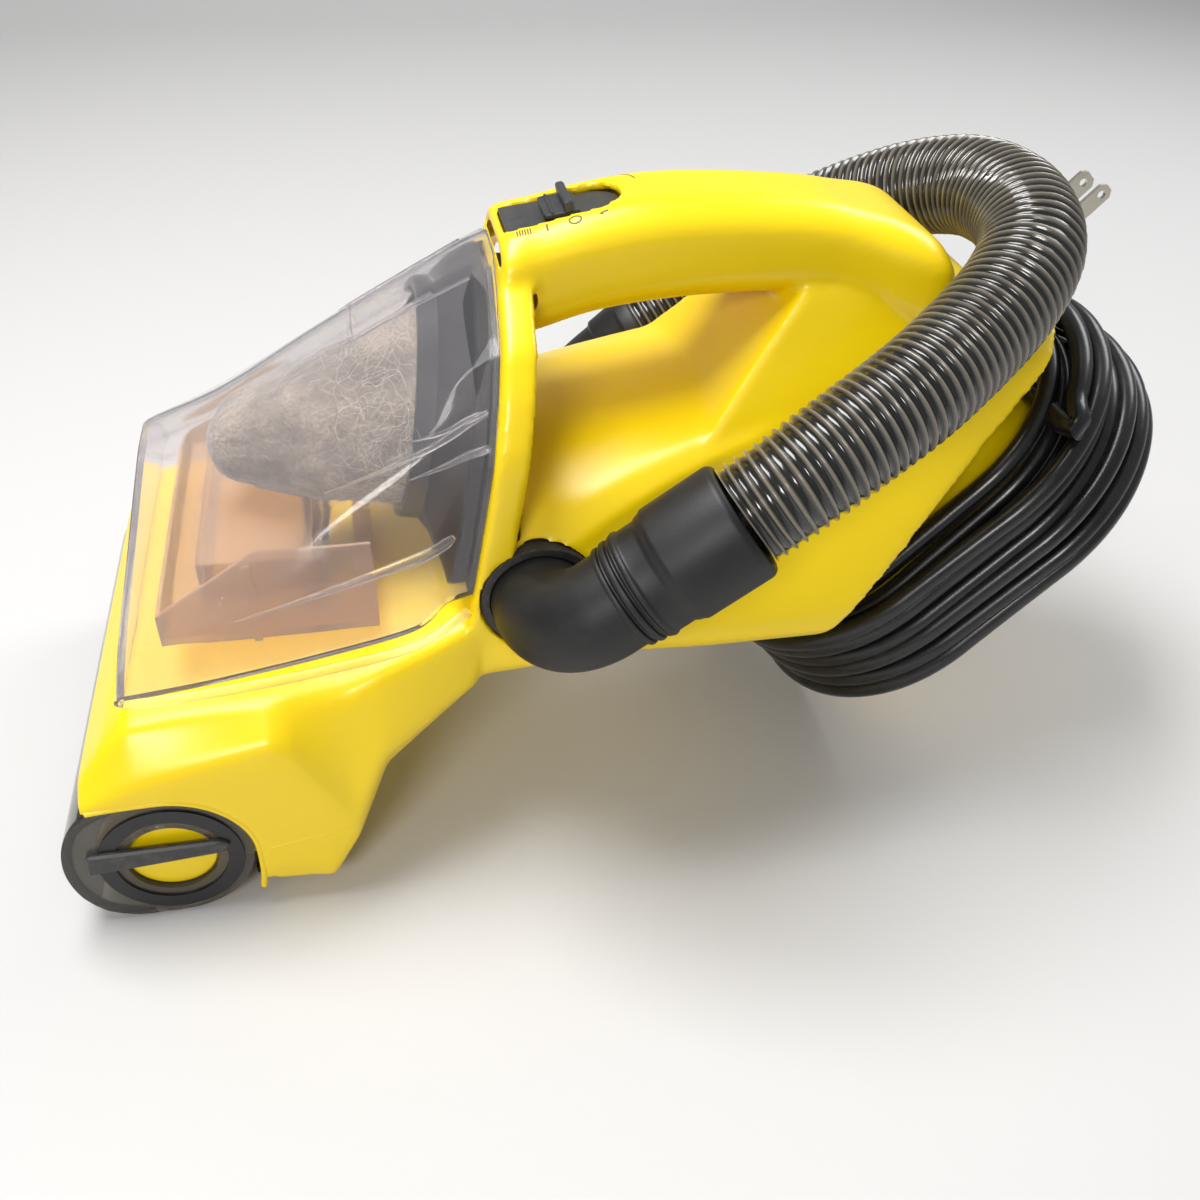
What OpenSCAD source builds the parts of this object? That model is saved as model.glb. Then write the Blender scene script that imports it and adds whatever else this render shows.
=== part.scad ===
// Corded hand vacuum with a belt-driven brush, a clear dust cup, a stretch hose and a cord wrap.
// X runs from the nozzle to the tail, Z is up, and the origin is on the floor under the middle.

/* [Nozzle] */
// Width across the nozzle
nozzle_w = 165; // [150:1:200]
// Diameter over the bristles
brush_d = 38; // [30:1:42]
// Diameter of the brush core
brush_core_d = 24; // [20:1:28]
// Diameter of the brush axle
axle_d = 5; // [4:0.5:7]

/* [Body] */
// Width of the body shells at their widest
body_w = 136; // [120:1:165]
// Extra length of the motor section
tail_extra = 0; // [-10:1:30]
// Width of the handle
handle_w = 42; // [34:1:50]
// Wall of the moulded shells
wall = 2.5; // [2:0.1:3.5]
// Wall of the dust cup
cup_wall = 2; // [1.5:0.1:3]

/* [Motor] */
// Diameter of the motor's field
motor_d = 56; // [46:1:60]
// Diameter of the motor shaft
shaft_d = 6; // [5:0.5:8]
// Diameter of the fan
fan_d = 50; // [42:1:52]
// Diameter of the motor pulley
pulley_d = 14; // [11:0.5:18]

/* [Hose and cord] */
// Outer diameter of the hose
hose_d = 31; // [26:1:34]
// Bore of the elbow and cuffs
hose_bore_d = 24; // [20:1:26]
// Diameter of the power cord
cord_d = 7; // [6:0.5:8]
// Length of the cord wrap, between the body and the flange
wrap_gap = 58; // [50:1:70]
// Half of the flange's length
flange_half = 74; // [72:1:95]
// Half of the flange's width
flange_half_w = 44; // [42:1:60]

/* [Hidden] */
$fn = 48;

wy = body_w / 136;              // widths of the shells follow the body's width
ny = nozzle_w / 165;            // widths of the nozzle and cup follow the nozzle's
tail = tail_extra;
brush_x = 28.5;
brush_z = 25;
visor_r = 31.5;
nose_x = brush_x - visor_r;     // front of the visor
visor_y = nozzle_w / 2 - 2.6;   // outer face of the visor's end plates
end_y = nozzle_w / 2 - 6.5;     // outer face of the yellow end caps
arch_x = 125;                   // front of the arch at 90 mm above the floor
arch_lean = 0.175;              // how far the arch leans back for each mm of height
tail_lean = 0.95;
tail_x = 239 + tail;            // rear corner of the body, tail_z above the floor
tail_z = 73;
wrap_tilt = 43.5;               // the wrap's axis points down by this many degrees
wrap_mid = 43;                  // middle of the wrap above the rear corner, along the slope
wall_y = 0.2;                   // gap between the two shells
flange_t = 4;
port_x = 146;
port_z = 95;
port_d = 36;
cuff_tilt = 35;                 // the hose leaves the elbow at this angle above level
elbow_bend = 19;
elbow_d = 30;
motor_x = 205;
motor_z = 96;
coil_half = 79;
coil_half_w = 58;
coil_t = 17;
coil_from = 4;
coil_to = 52;
neck_half = coil_half - coil_t - 8;
neck_half_w = coil_half_w - coil_t - 4;
// the flange's highest rear corner sets the overall length
flange_back = 2 + wrap_gap + flange_t;
tail_end = tail_x + (wrap_mid + flange_half) * sin(wrap_tilt) + flange_back * cos(wrap_tilt);
mid_x = (nose_x + tail_end) / 2;

// ---------- placing ----------
module placed() { translate([-mid_x, 0, 0]) children(); }
module along_y(x, y, z) { translate([x, y, z]) rotate([-90, 0, 0]) children(); }
// frame of the cord wrap: X along the slope (up), Z along the winding axis (to the rear and down)
module on_wrap() {
  translate([tail_x, 0, tail_z]) multmatrix([
    [sin(wrap_tilt), 0, cos(wrap_tilt), 0], [0, 1, 0, 0],
    [cos(wrap_tilt), 0, -sin(wrap_tilt), 0]]) children();
}
module tube_y(x, y0, y1, z, r_out, r_in) {
  along_y(x, y0, z) difference() {
    cylinder(r = r_out, h = y1 - y0);
    translate([0, 0, -1]) cylinder(r = r_in, h = y1 - y0 + 2);
  }
}

// ---------- leaning sections that the shells are lofted through ----------
// half outline (y, z) at x measured 90 mm above the floor
module plate(x, lean, k, half, inset) {
  full = concat(half, [for (i = [len(half) - 1:-1:0]) [-half[i][0], half[i][1]]]);
  multmatrix([[0, lean, 1, x - lean * 90], [k, 0, 0, 0], [0, 1, 0, 0]])
    linear_extrude(0.4) offset(delta = -inset) polygon(full);
}
module loft(sections, k, inset = 0) {
  for (i = [0:len(sections) - 2]) hull() {
    plate(sections[i][0], sections[i][1], k, sections[i][2], inset);
    plate(sections[i + 1][0], sections[i + 1][1], k, sections[i + 1][2], inset);
  }
}
arch_outline = [[50, 60], [60, 70], [60, 141], [52, 158], [43, 169], [22, 178], [8, 184]];
arch_sections = [[arch_x, arch_lean, arch_outline], [arch_x + 10, arch_lean, arch_outline]];
pod_sections = [
  [arch_x + 5, 0.16, [[47, 57], [59, 67], [59.3, 100], [51, 118], [30, 127], [8, 129]]],
  [150, 0.22, [[48, 60], [66, 74], [60, 102], [48, 116], [26, 129], [7, 132]]],
  [180, 0.34, [[46, 62], [68, 77], [58, 103], [46, 118], [26, 134], [7, 138]]],
  [208 + tail, 0.5, [[46, 60], [68, 76], [56, 104], [44, 124], [26, 140], [7, 146]]],
  [tail_x + 16.2, tail_lean, [[44, 60], [67, 74], [54, 106], [41, 136], [34, 151], [20, 158]]]];
post_sections = [
  [162 + tail, 0.85, [[46, 124], [31, 152], [22, 174]]],
  [190 + tail, 0.9, [[44, 126], [30, 156], [22, 173]]],
  [222 + tail, tail_lean, [[42, 128], [29, 156], [18, 166]]]];
handle_stations = [
  [144, 158.5, 190.5, 1.1], [153, 160, 192, 1.03], [168, 164, 195.5, 1], [186, 166.5, 198, 1],
  [208, 167.5, 198, 1], [236 + tail, 167.5, 195.5, 1.02], [253 + tail, 167, 192, 1.04],
  [268 + tail, 166, 188, 1.02], [277 + tail, 168, 183, 0.85]];
module handle_bar(stations, inset) {
  for (i = [0:len(stations) - 2]) hull() for (s = [stations[i], stations[i + 1]])
    translate([s[0], 0, (s[1] + s[2]) / 2]) rotate([90, 0, 90])
      linear_extrude(0.4) offset(r = 9 - inset) offset(delta = -9)
        square([handle_w * s[3], s[2] - s[1]], center = true);
}
// a loft's sections with its last section moved along X
function shortened(sections, first, last) = [for (i = [0:len(sections) - 1]) let (s = sections[i])
  [s[0] + (i == 0 ? first : i == len(sections) - 1 ? last : 0), s[1], s[2]]];
module body_outside() {
  loft(arch_sections, wy);
  loft(pod_sections, wy);
  loft(post_sections, wy);
  handle_bar(handle_stations, 0);
}
// the hollow, open at the arch and closed at the tail
module body_inside() {
  loft(shortened(arch_sections, -3, 0.7), wy, wall);
  loft(shortened(pod_sections, 0.3, -1.4 * wall), wy, wall);
  loft(shortened(post_sections, 1.4 * wall, -1.4 * wall), wy, wall);
  handle_bar([for (i = [0:len(handle_stations) - 1]) let (s = handle_stations[i])
    i == len(handle_stations) - 1 ? [s[0] - wall, s[1], s[2], s[3]] : s], wall);
}
module body_shell(side) {
  color("gold") placed() intersection() {
    difference() {
      body_outside();
      body_inside();
      // opening behind the filter
      translate([arch_x - 23, 0, 135]) rotate([0, 100, 0]) cylinder(r = 44 * wy, h = 40);
      // slot for the switch, mouth of the hose port and holes for the latch and the lead
      on_handle() translate([-19, -11, -4]) cube([38, 22, 22]);
      along_y(port_x, -90, port_z) cylinder(d = port_d, h = 60);
      translate([146, 0, 173]) cube([24, 16, 8], center = true);
      // exhaust slots on the far side
      for (i = [0:5]) translate([186 + 9 * i, 40, 92 - 0.6 * i]) rotate([0, 20, 0]) cube([3.5, 80, 26], center = true);
      // passage for the belt into the nozzle
      belt_tunnel();
      on_wrap() translate([wrap_mid, 0, -6]) linear_extrude(12) rounded_slot(neck_half - 8, neck_half_w - 8);
      // room for the nozzle housing's tongue
      translate([80, -60, 40]) cube([arch_x - 80 + 2, 120, 54]);
    }
    translate([0, side > 0 ? wall_y / 2 : -200 - wall_y / 2, 0]) cube([420, 200, 260]);
  }
}
module body_left() { body_shell(-1); }
module body_right() { body_shell(1); }

// oblong with round ends, long way along X
module rounded_slot(half, half_w) {
  hull() for (s = [-1, 1]) translate([s * (half - half_w), 0]) circle(r = half_w);
}

// ---------- nozzle ----------
nozzle_sections = [
  [4, 0, [[82, 46], [82.5, 48], [76, 54]]],
  [15, 0, [[82.5, 30], [82.5, 57], [72, 74]]],
  [38, 0, [[82.5, 6], [82.5, 63], [71, 78]]],
  [62, 0, [[82.5, 4], [82.5, 68], [71, 80]]],
  [74, 0, [[80, 4], [80, 62], [71, 81]]],
  [84, 0, [[76, 18], [77, 50], [70, 82.5]]],
  [96, 0, [[70, 38], [72, 54], [67, 85]]],
  [arch_x - 1, 0, [[50, 56], [62, 66], [60, 90]]]];
module nozzle_housing() {
  color("gold") placed() difference() {
    loft(nozzle_sections, ny);
    translate([0, 0, -0.01]) loft([for (s = nozzle_sections) [s[0] + wall, 0, s[2]]], (nozzle_w - 2 * wall) / 165, wall);
    // round brush chamber, which the visor swings inside
    along_y(brush_x, -nozzle_w, brush_z) cylinder(r = visor_r + 0.6, h = 2 * nozzle_w);
    translate([-20, -nozzle_w, -1]) cube([brush_x + 20 + 22, 2 * nozzle_w, 30]);
    belt_tunnel();
    // air way up into the dust cup
    translate([66, 0, 84]) cube([34, 70, 20], center = true);
  }
}
plate_inset = 14;
module base_plate() {
  color("dimgray") placed() difference() {
    translate([50, -nozzle_w / 2 + plate_inset, 0]) cube([24, nozzle_w - 2 * plate_inset, 3]);
    base_screw_places() translate([0, 0, -1]) cylinder(d = 3.4, h = 5);
  }
}
module base_screw_places() { for (y = [-60, 0, 60]) translate([67, y * ny, 0]) children(); }
module base_screws() {
  color("silver") placed() base_screw_places() {
    translate([0, 0, 0.6]) cylinder(d = 3.2, h = 10);
    translate([0, 0, 3]) cylinder(d = 6, h = 1.8);
  }
}

// ---------- cord wrap ----------
module cord_wrap() {
  color("gold") placed() on_wrap() translate([wrap_mid, 0, 2]) difference() {
    linear_extrude(wrap_gap) rounded_slot(neck_half, neck_half_w);
    translate([0, 0, -1]) linear_extrude(wrap_gap + 2) rounded_slot(neck_half - wall, neck_half_w - wall);
  }
}
module wrap_flange() {
  color("gold") placed() difference() {
    on_wrap() translate([wrap_mid, 0, 2 + wrap_gap]) difference() {
      linear_extrude(flange_t) rounded_slot(flange_half, flange_half_w);
      translate([0, 0, -1]) linear_extrude(flange_t + 2) rounded_slot(neck_half - 12, neck_half_w - 12);
    }
    translate([0, -100, -50]) cube([500, 200, 50]);
  }
}

// ---------- switch on the handle ----------
switch_x = 161;
switch_z = 190;
module on_handle() { translate([switch_x, 0, switch_z]) rotate([0, -8, 0]) children(); }
module switch_plate() {
  color("dimgray") placed() on_handle() difference() {
    translate([-17.5, -10, -1]) cube([35, 20, 2]);
    translate([-16, -4.2, -2]) cube([32, 8.4, 4]);
  }
}
module switch_slider() {
  color("gray") placed() on_handle() {
    translate([-5, -8.5, 1.3]) cube([13, 17, 1.8]);
    translate([0, -9, 1.3]) cube([3, 18, 4.5]);
    translate([-2, -3.8, -5]) cube([7, 7.6, 6.5]);
  }
}
module switch_block() {
  color("black") placed() on_handle() difference() {
    translate([-18, -7, -10]) cube([36, 14, 4.4]);
    translate([-3, -4.2, -7.5]) cube([9, 8.4, 4]);
  }
}
module cup_latch() {
  color("dimgray") placed() difference() {
    translate([133, -7, 170]) cube([26, 14, 6]);
    translate([154, -3.5, 169]) cube([3, 7, 8]);
  }
}
module latch_spring() {
  color("silver") placed() translate([164.4, 0, 173]) rotate([0, 90, 0]) translate([0, 0, -4]) difference() {
    cylinder(d = 5, h = 8);
    translate([0, 0, -1]) cylinder(d = 3.4, h = 10);
  }
}

// ---------- motor and fan, on one shaft across the body ----------
motor_from = -18;
motor_to = 28;
module motor_field() { color("silver") placed() tube_y(motor_x, motor_from, motor_to, motor_z, motor_d / 2, motor_d / 2 - 6); }
module motor_bracket(y) { tube_y(motor_x, y, y + 4, motor_z, motor_d / 2, shaft_d / 2 + 0.05); }
module motor_bracket_left() { color("gray") placed() motor_bracket(motor_from - 4); }
module motor_bracket_right() { color("gray") placed() motor_bracket(motor_to); }
module motor_mounts() {
  color("black") placed() tube_y(motor_x, motor_to - 10, motor_to - 4, motor_z, motor_d / 2 + 2.5, motor_d / 2 + 0.05);
}
module carbon_brushes() {
  color("dimgray") placed() for (side = [-1, 1])
    translate([motor_x + (side > 0 ? commutator_r + 0.15 : -commutator_r - 7), motor_to - 10, motor_z - 2]) cube([6.85, 5, 4]);
}
commutator_r = 9;
module commutator() { color("peru") placed() tube_y(motor_x, motor_to - 13, motor_to - 2, motor_z, commutator_r, shaft_d / 2); }
module armature() { color("silver") placed() tube_y(motor_x, motor_from + 6, motor_to - 15, motor_z, motor_d / 2 - 6.6, shaft_d / 2); }
module motor_shaft() { color("silver") placed() along_y(motor_x, motor_from - 20, motor_z) cylinder(d = shaft_d, h = motor_to - motor_from + 38); }
module fan_housing() {
  color("black") placed() difference() {
    along_y(motor_x, motor_from - 21, motor_z) cylinder(d = fan_d + 4.5, h = 16.5);
    along_y(motor_x, motor_from - 19, motor_z) cylinder(d = fan_d + 2, h = 20);
    along_y(motor_x, motor_from - 30, motor_z) cylinder(d = 30, h = 20);
  }
}
module fan() {
  color("lightgray") placed() {
    tube_y(motor_x, motor_from - 8, motor_from - 6.5, motor_z, fan_d / 2, shaft_d / 2);
    tube_y(motor_x, motor_from - 16, motor_from - 6.5, motor_z, 8, shaft_d / 2);
    along_y(motor_x, motor_from - 16, motor_z) for (a = [0:40:359]) rotate([0, 0, a])
      translate([7.5, -0.7, 0]) cube([fan_d / 2 - 9, 1.4, 8.2]);
  }
}
belt_y = motor_to + 8;
module motor_pulley() { color("dimgray") placed() tube_y(motor_x, belt_y - 1, belt_y + 8, motor_z, pulley_d / 2, shaft_d / 2); }
brush_pulley_d = 22;
belt_t = 1.6;
belt_w = 6;
// the belt's outline round both pulleys, in the X-Z plane
module belt_outline(gap) {
  hull() {
    translate([motor_x, motor_z]) circle(d = pulley_d + 2 * gap);
    translate([brush_x, brush_z]) circle(d = brush_pulley_d + 2 * gap);
  }
}
module across(y, width) { translate([0, y + width, 0]) rotate([90, 0, 0]) linear_extrude(width) children(); }
module belt_tunnel() { across(belt_y - 3, belt_w + 6) belt_outline(belt_t + 3); }
module drive_belt() {
  color("black") placed() across(belt_y, belt_w) difference() {
    belt_outline(belt_t + 0.3);
    belt_outline(0.3);
  }
}

// ---------- brush ----------
brush_end = end_y - 6;
module brush_core() {
  color("black") placed() {
    tube_y(brush_x, -brush_end, belt_y - 1.2, brush_z, brush_core_d / 2, axle_d / 2 + 0.05);
    tube_y(brush_x, belt_y + 7.2, brush_end, brush_z, brush_core_d / 2, axle_d / 2 + 0.05);
  }
}
module brush_pulley() { color("dimgray") placed() tube_y(brush_x, belt_y - 1, belt_y + 7, brush_z, brush_pulley_d / 2, axle_d / 2 + 0.05); }
// tufts on two turns round the core, clear of the belt
module brush_bristles() {
  color("ivory") placed() for (row = [0, 180]) for (i = [0:15]) let (y = -brush_end + 4 + i * (2 * brush_end - 8) / 15)
    if (y + 3 < belt_y - 2 || y - 3 > belt_y + 8)
      along_y(brush_x, y, brush_z) rotate([0, 0, row + 12 * i]) translate([brush_core_d / 2 - 1, 0, 0]) rotate([0, 90, 0])
        cylinder(d = 5, h = brush_d / 2 - brush_core_d / 2 + 1, $fn = 13);
}
module brush_axle() { color("silver") placed() along_y(brush_x, -end_y + 1, brush_z) cylinder(d = axle_d, h = 2 * end_y - 2); }
boss_r = 13;
module end_cap(side) {
  color("gold") placed() difference() {
    union() {
      along_y(brush_x, side > 0 ? end_y - 4 : -end_y, brush_z) cylinder(r = 22, h = 4);
      along_y(brush_x, side > 0 ? end_y - 4 : -end_y - 2, brush_z) cylinder(r = boss_r, h = 6);
      translate([brush_x + 18, side > 0 ? end_y - 4 : -end_y, brush_z - 6]) cube([12, 4, 12]);
    }
    along_y(brush_x, side > 0 ? end_y - 10 : -end_y + 1, brush_z) cylinder(d = axle_d, h = 9);
  }
}
module end_cap_left() { end_cap(-1); }
module end_cap_right() { end_cap(1); }

// clear visor that turns about the brush axis
module riser_visor() {
  color("dimgray", 0.6) placed() difference() {
    union() {
      for (side = [-1, 1]) intersection() {
        along_y(brush_x, side > 0 ? visor_y - 2.4 : -visor_y, brush_z) difference() {
          cylinder(r = visor_r, h = 2.4);
          translate([0, 0, -1]) cylinder(r = boss_r + 0.1, h = 5);
        }
        union() {
          translate([-20, -100, 1]) cube([brush_x + 20, 200, 46]);
          along_y(brush_x, -100, brush_z) cylinder(r = 23.5, h = 200);
        }
      }
      difference() {
        along_y(brush_x, -visor_y, brush_z) cylinder(r = visor_r, h = 2 * visor_y);
        along_y(brush_x, -visor_y - 1, brush_z) cylinder(r = visor_r - 2, h = 2 * visor_y + 2);
        translate([brush_x - 24, -120, -20]) cube([120, 240, 120]);
        translate([-20, -120, -20]) cube([60, 240, 21 + 6]);
      }
    }
    translate([-20, -100, 47]) cube([100, 200, 20]);
    translate([-20, -100, -30]) cube([100, 200, 31]);
  }
}

// ---------- dust cup and filter ----------
cup_sections = [
  [24.6, 0.2, [[68, 79], [68, 89], [63, 97], [22, 121]]],
  [28, 0.2, [[68.5, 80], [68.5, 92], [62, 101], [22, 124]]],
  [52, 0.12, [[68, 83], [68.5, 103], [61, 114], [42, 124], [14, 137]]],
  [82, 0.1, [[67, 84], [67.5, 118], [60, 131], [40, 142], [12, 156]]],
  [108, 0.14, [[64, 89], [64.5, 127], [57, 149], [42, 159], [12, 173]]],
  [arch_x - 8, arch_lean, [[59, 94], [59, 141], [51, 157], [42, 168], [10, 181]]],
  [arch_x - 1, arch_lean, [[59, 94], [59, 141], [51, 157], [42, 168], [10, 181]]]];
module dust_cup() {
  color("lightgray", 0.4) placed() difference() {
    loft(cup_sections, ny);
    loft([for (i = [0:len(cup_sections) - 1]) let (s = cup_sections[i])
      [s[0] + (i == 0 ? cup_wall : i == len(cup_sections) - 1 ? 2 : 0), s[1], s[2]]], ny, cup_wall);
    // mouth of the air way and window for the latch
    translate([66, 0, 84]) cube([33, 68, 16], center = true);
    translate([126, -9, 165]) cube([26, 18, 40]);
  }
}
// tray of the air way: walls inside the cup's flanks that rise to the rear, round the raised mouth with its flap
tray_half_w = 57 * ny;
tray_x = 36;
tray_end = 98;
tray_z = 89.5;
module tray_side(y, t) {
  across(y, t) polygon([[tray_x, tray_z], [tray_end, tray_z], [tray_end, 119], [66, 119], [tray_x, 100]]);
}
module inlet_duct() {
  color("rosybrown", 0.7) placed() difference() {
    union() {
      difference() {
        tray_side(-tray_half_w, 2 * tray_half_w);
        translate([tray_x + 1.6, -tray_half_w + 1.6, tray_z + 1.5]) cube([tray_end, 2 * tray_half_w - 3.2, 60]);
      }
      for (side = [-1, 1]) translate([62, side * (tray_half_w + 0.4) - 0.9, tray_z]) cube([2.4, 1.8, 26]);
      translate([46, -36, 87]) cube([34, 72, 15]);
    }
    translate([48, -34, 84]) cube([30, 68, 16.2]);
    translate([60, -34, 90]) cube([30, 68, 9]);
    translate([80, -35, 84]) cube([12, 70, 9]);
  }
}
module inlet_flap() {
  color("rosybrown", 0.7) placed() translate([81, -33.5, 90]) cube([1.2, 67, 9]);
}
// a plate parallel to the cup's rear edge, inside its walls
cup_end = cup_sections[len(cup_sections) - 1][2];
module lean_plate(x0, x1) {
  hull() for (x = [x0, x1]) plate(x, arch_lean, ny, cup_end, cup_wall + 0.9);
}
// a round way through the filter's frame, square to it
module filter_way(r) { translate([arch_x - 23, 0, 135]) rotate([0, 100, 0]) cylinder(r = r, h = 60); }
module filter_frame() {
  color("dimgray") placed() difference() {
    lean_plate(arch_x - 7, arch_x - 2.4);
    filter_way(33);
    translate([126, -9, 165]) cube([26, 18, 40]);
  }
}
module filter_cone() {
  color("tan") placed() hull() {
    translate([66, 0, 122]) sphere(r = 15, $fn = 32);
    translate([arch_x - 23, 0, 135]) rotate([0, 100, 0]) translate([0, 0, 21]) cylinder(r = 32, h = 1, $fn = 32);
  }
}
module cup_seal() {
  color("black") placed() difference() {
    lean_plate(arch_x - 1.8, arch_x - 0.9);
    filter_way(36);
    translate([126, -9, 165]) cube([26, 18, 40]);
  }
}

// ---------- hose ----------
// frame at the port: Z' to the left out of the body, X' along the cuffs
module at_port() { translate([port_x, 0, port_z]) rotate([0, -cuff_tilt, 0]) children(); }
port_y = 63 * wy;
elbow_y = port_y - 2;
module port_seal() {
  color("black") placed() tube_y(port_x, -port_y + 4, -port_y + 9, port_z, port_d / 2 - 0.1, elbow_d / 2 + 0.3);
}
module hose_elbow() {
  color("dimgray") placed() at_port() translate([0, -elbow_y, 0]) {
    rotate([-90, 0, 0]) difference() {
      cylinder(d = elbow_d, h = 10);
      translate([0, 0, -1]) cylinder(d = hose_bore_d, h = 12);
    }
    translate([elbow_bend, 0, 0]) rotate([0, 0, 180]) rotate_extrude(angle = 90) translate([elbow_bend, 0]) difference() {
      circle(d = elbow_d);
      circle(d = hose_bore_d);
    }
    translate([elbow_bend, -elbow_bend, 0]) rotate([0, 90, 0]) difference() {
      cylinder(d = elbow_d, h = 6);
      translate([0, 0, -1]) cylinder(d = hose_bore_d, h = 8);
    }
  }
}
// a round piece round the hose's axis, from one distance past the elbow's bend to another
module cuff_ring(from, to, d) {
  at_port() translate([elbow_bend + from, -elbow_y - elbow_bend, 0]) rotate([0, 90, 0]) difference() {
    cylinder(d = d, h = to - from);
    translate([0, 0, -1]) cylinder(d = hose_bore_d, h = to - from + 2);
  }
}
module elbow_ring() { color("dimgray") placed() cuff_ring(6, 12, elbow_d + 2); }
module hose_cuff() {
  color("dimgray") placed() {
    cuff_ring(12, 22, hose_d + 3);
    cuff_ring(22, 46, hose_d + 5);
  }
}
// closed tube swept along points: each ring stands square to the path
function unit(v) = v / norm(v);
function heading(p, i) = unit(p[min(i + 1, len(p) - 1)] - p[max(i - 1, 0)]);
function ring(p, i, r, sides, up) = let (t = heading(p, i), a = unit(cross(t, up)), b = cross(a, t))
  [for (k = [0:sides - 1]) p[i] + r * (cos(360 * k / sides) * a + sin(360 * k / sides) * b)];
module swept(p, r, sides, up) {
  n = len(p);
  polyhedron(
    points = [for (i = [0:n - 1]) each ring(p, i, r, sides, up)],
    faces = concat(
      [[for (k = [0:sides - 1]) k]],
      [for (i = [0:n - 2]) for (k = [0:sides - 1]) let (q = (k + 1) % sides)
        [i * sides + q, i * sides + k, (i + 1) * sides + k, (i + 1) * sides + q]],
      [[for (k = [sides - 1:-1:0]) (n - 1) * sides + k]]));
}
hose_route = [[200, -80, 133], [213, -79, 142], [229, -75, 151], [248, -68, 160], [266, -58, 168], [282, -47, 176],
  [294, -34, 183], [300, -18, 187], [301, 0, 188], [297, 18, 186], [287, 36, 179], [273, 52, 168], [257, 63, 156],
  [240, 69, 140], [223, 71, 127], [206, 71, 116]];
hose_up = [-0.5, 0, 0.85];
module hose() { color("dimgray") placed() swept(hose_route, hose_d / 2, 12, hose_up); }
tail_end_tilt = 33;
module at_tail_cuff() { translate(hose_route[len(hose_route) - 1]) rotate([0, -90 - tail_end_tilt, 0]) children(); }
module tail_cuff() {
  color("dimgray") placed() at_tail_cuff() difference() {
    cylinder(d1 = hose_d + 2, d2 = 20, h = 30);
    translate([0, 0, 20]) cylinder(d = 15, h = 12);
  }
}
module tail_socket() {
  color("gold") placed() {
    at_tail_cuff() translate([0, 0, 20.2]) cylinder(d = 14.6, h = 12.8);
    at_tail_cuff() translate([0, 0, 33]) cylinder(d = 18, h = 4);
    translate([167, 52, 88]) cube([11, 14, 9]);
  }
}

// ---------- power cord ----------
lead_route = [[192, 24, 50], [200, 23, 47.5], [208, 21, 47], [215, 18, 47.6], [221, 16, 48.5]];
plug_at = [333, 48, 141];
plug_dir = unit([0.69, 0, 0.72]);
module strain_relief() {
  color("black") placed() translate(lead_route[0]) rotate([0, -90 + 18, 0]) cylinder(d1 = cord_d + 2, d2 = 14, h = 26);
}
module cord_lead() { color("black") placed() swept(lead_route, cord_d / 2, 8, [0, 0, 1]); }
module cord_coil() {
  color("black") placed() on_wrap() translate([wrap_mid, 0, coil_from]) difference() {
    linear_extrude(coil_to - coil_from) rounded_slot(coil_half, coil_half_w);
    translate([0, 0, -1]) linear_extrude(coil_to - coil_from + 2) rounded_slot(coil_half - coil_t, coil_half_w - coil_t);
  }
}
module cord_end() { color("black") placed() swept([plug_at - 19 * plug_dir, plug_at - 9 * plug_dir, plug_at], cord_d / 2, 8, [0, 1, 0]); }
// frame of the plug: Z' out of its face, Y' across its two blades
module on_plug() { translate(plug_at) rotate([0, 90 - 46.2, 0]) children(); }
module plug_body() {
  color("black") placed() on_plug() {
    cylinder(d1 = 9, d2 = 13, h = 14);
    translate([-6.5, -11, 14]) cube([13, 22, 15]);
  }
}
module plug_blades() {
  color("silver") placed() on_plug() for (side = [-1, 1])
    translate([0, side * 6.35, 29]) difference() {
      translate([-3.15 - (side > 0 ? 0.8 : 0), -0.75, 0]) cube([6.3 + (side > 0 ? 1.6 : 0), 1.5, 17.5]);
      translate([0, -2, 14]) rotate([-90, 0, 0]) cylinder(d = 3, h = 4);
    }
}

// ---------- screws of the shells ----------
module body_screws() {
  color("silver") placed() for (p = [[150, 78], [232, 78], [262, 132]]) along_y(p[0], -14, p[1]) {
    cylinder(d = 3.2, h = 26);
    translate([0, 0, -2]) cylinder(d = 6.5, h = 2);
  }
}

body_left();
body_right();
nozzle_housing();
base_plate();
cord_wrap();
wrap_flange();
switch_plate();
switch_slider();
switch_block();
cup_latch();
latch_spring();
motor_field();
motor_bracket_left();
motor_bracket_right();
carbon_brushes();
motor_mounts();
fan_housing();
fan();
motor_shaft();
armature();
commutator();
motor_pulley();
drive_belt();
brush_core();
brush_bristles();
brush_pulley();
brush_axle();
end_cap_left();
end_cap_right();
riser_visor();
dust_cup();
inlet_duct();
inlet_flap();
filter_frame();
filter_cone();
cup_seal();
port_seal();
hose_elbow();
elbow_ring();
hose_cuff();
hose();
tail_cuff();
tail_socket();
strain_relief();
cord_lead();
cord_coil();
cord_end();
plug_body();
plug_blades();
body_screws();
base_screws();
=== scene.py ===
import math

import bmesh
import bpy
import numpy as np
from mathutils import Matrix, Vector, noise


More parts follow.
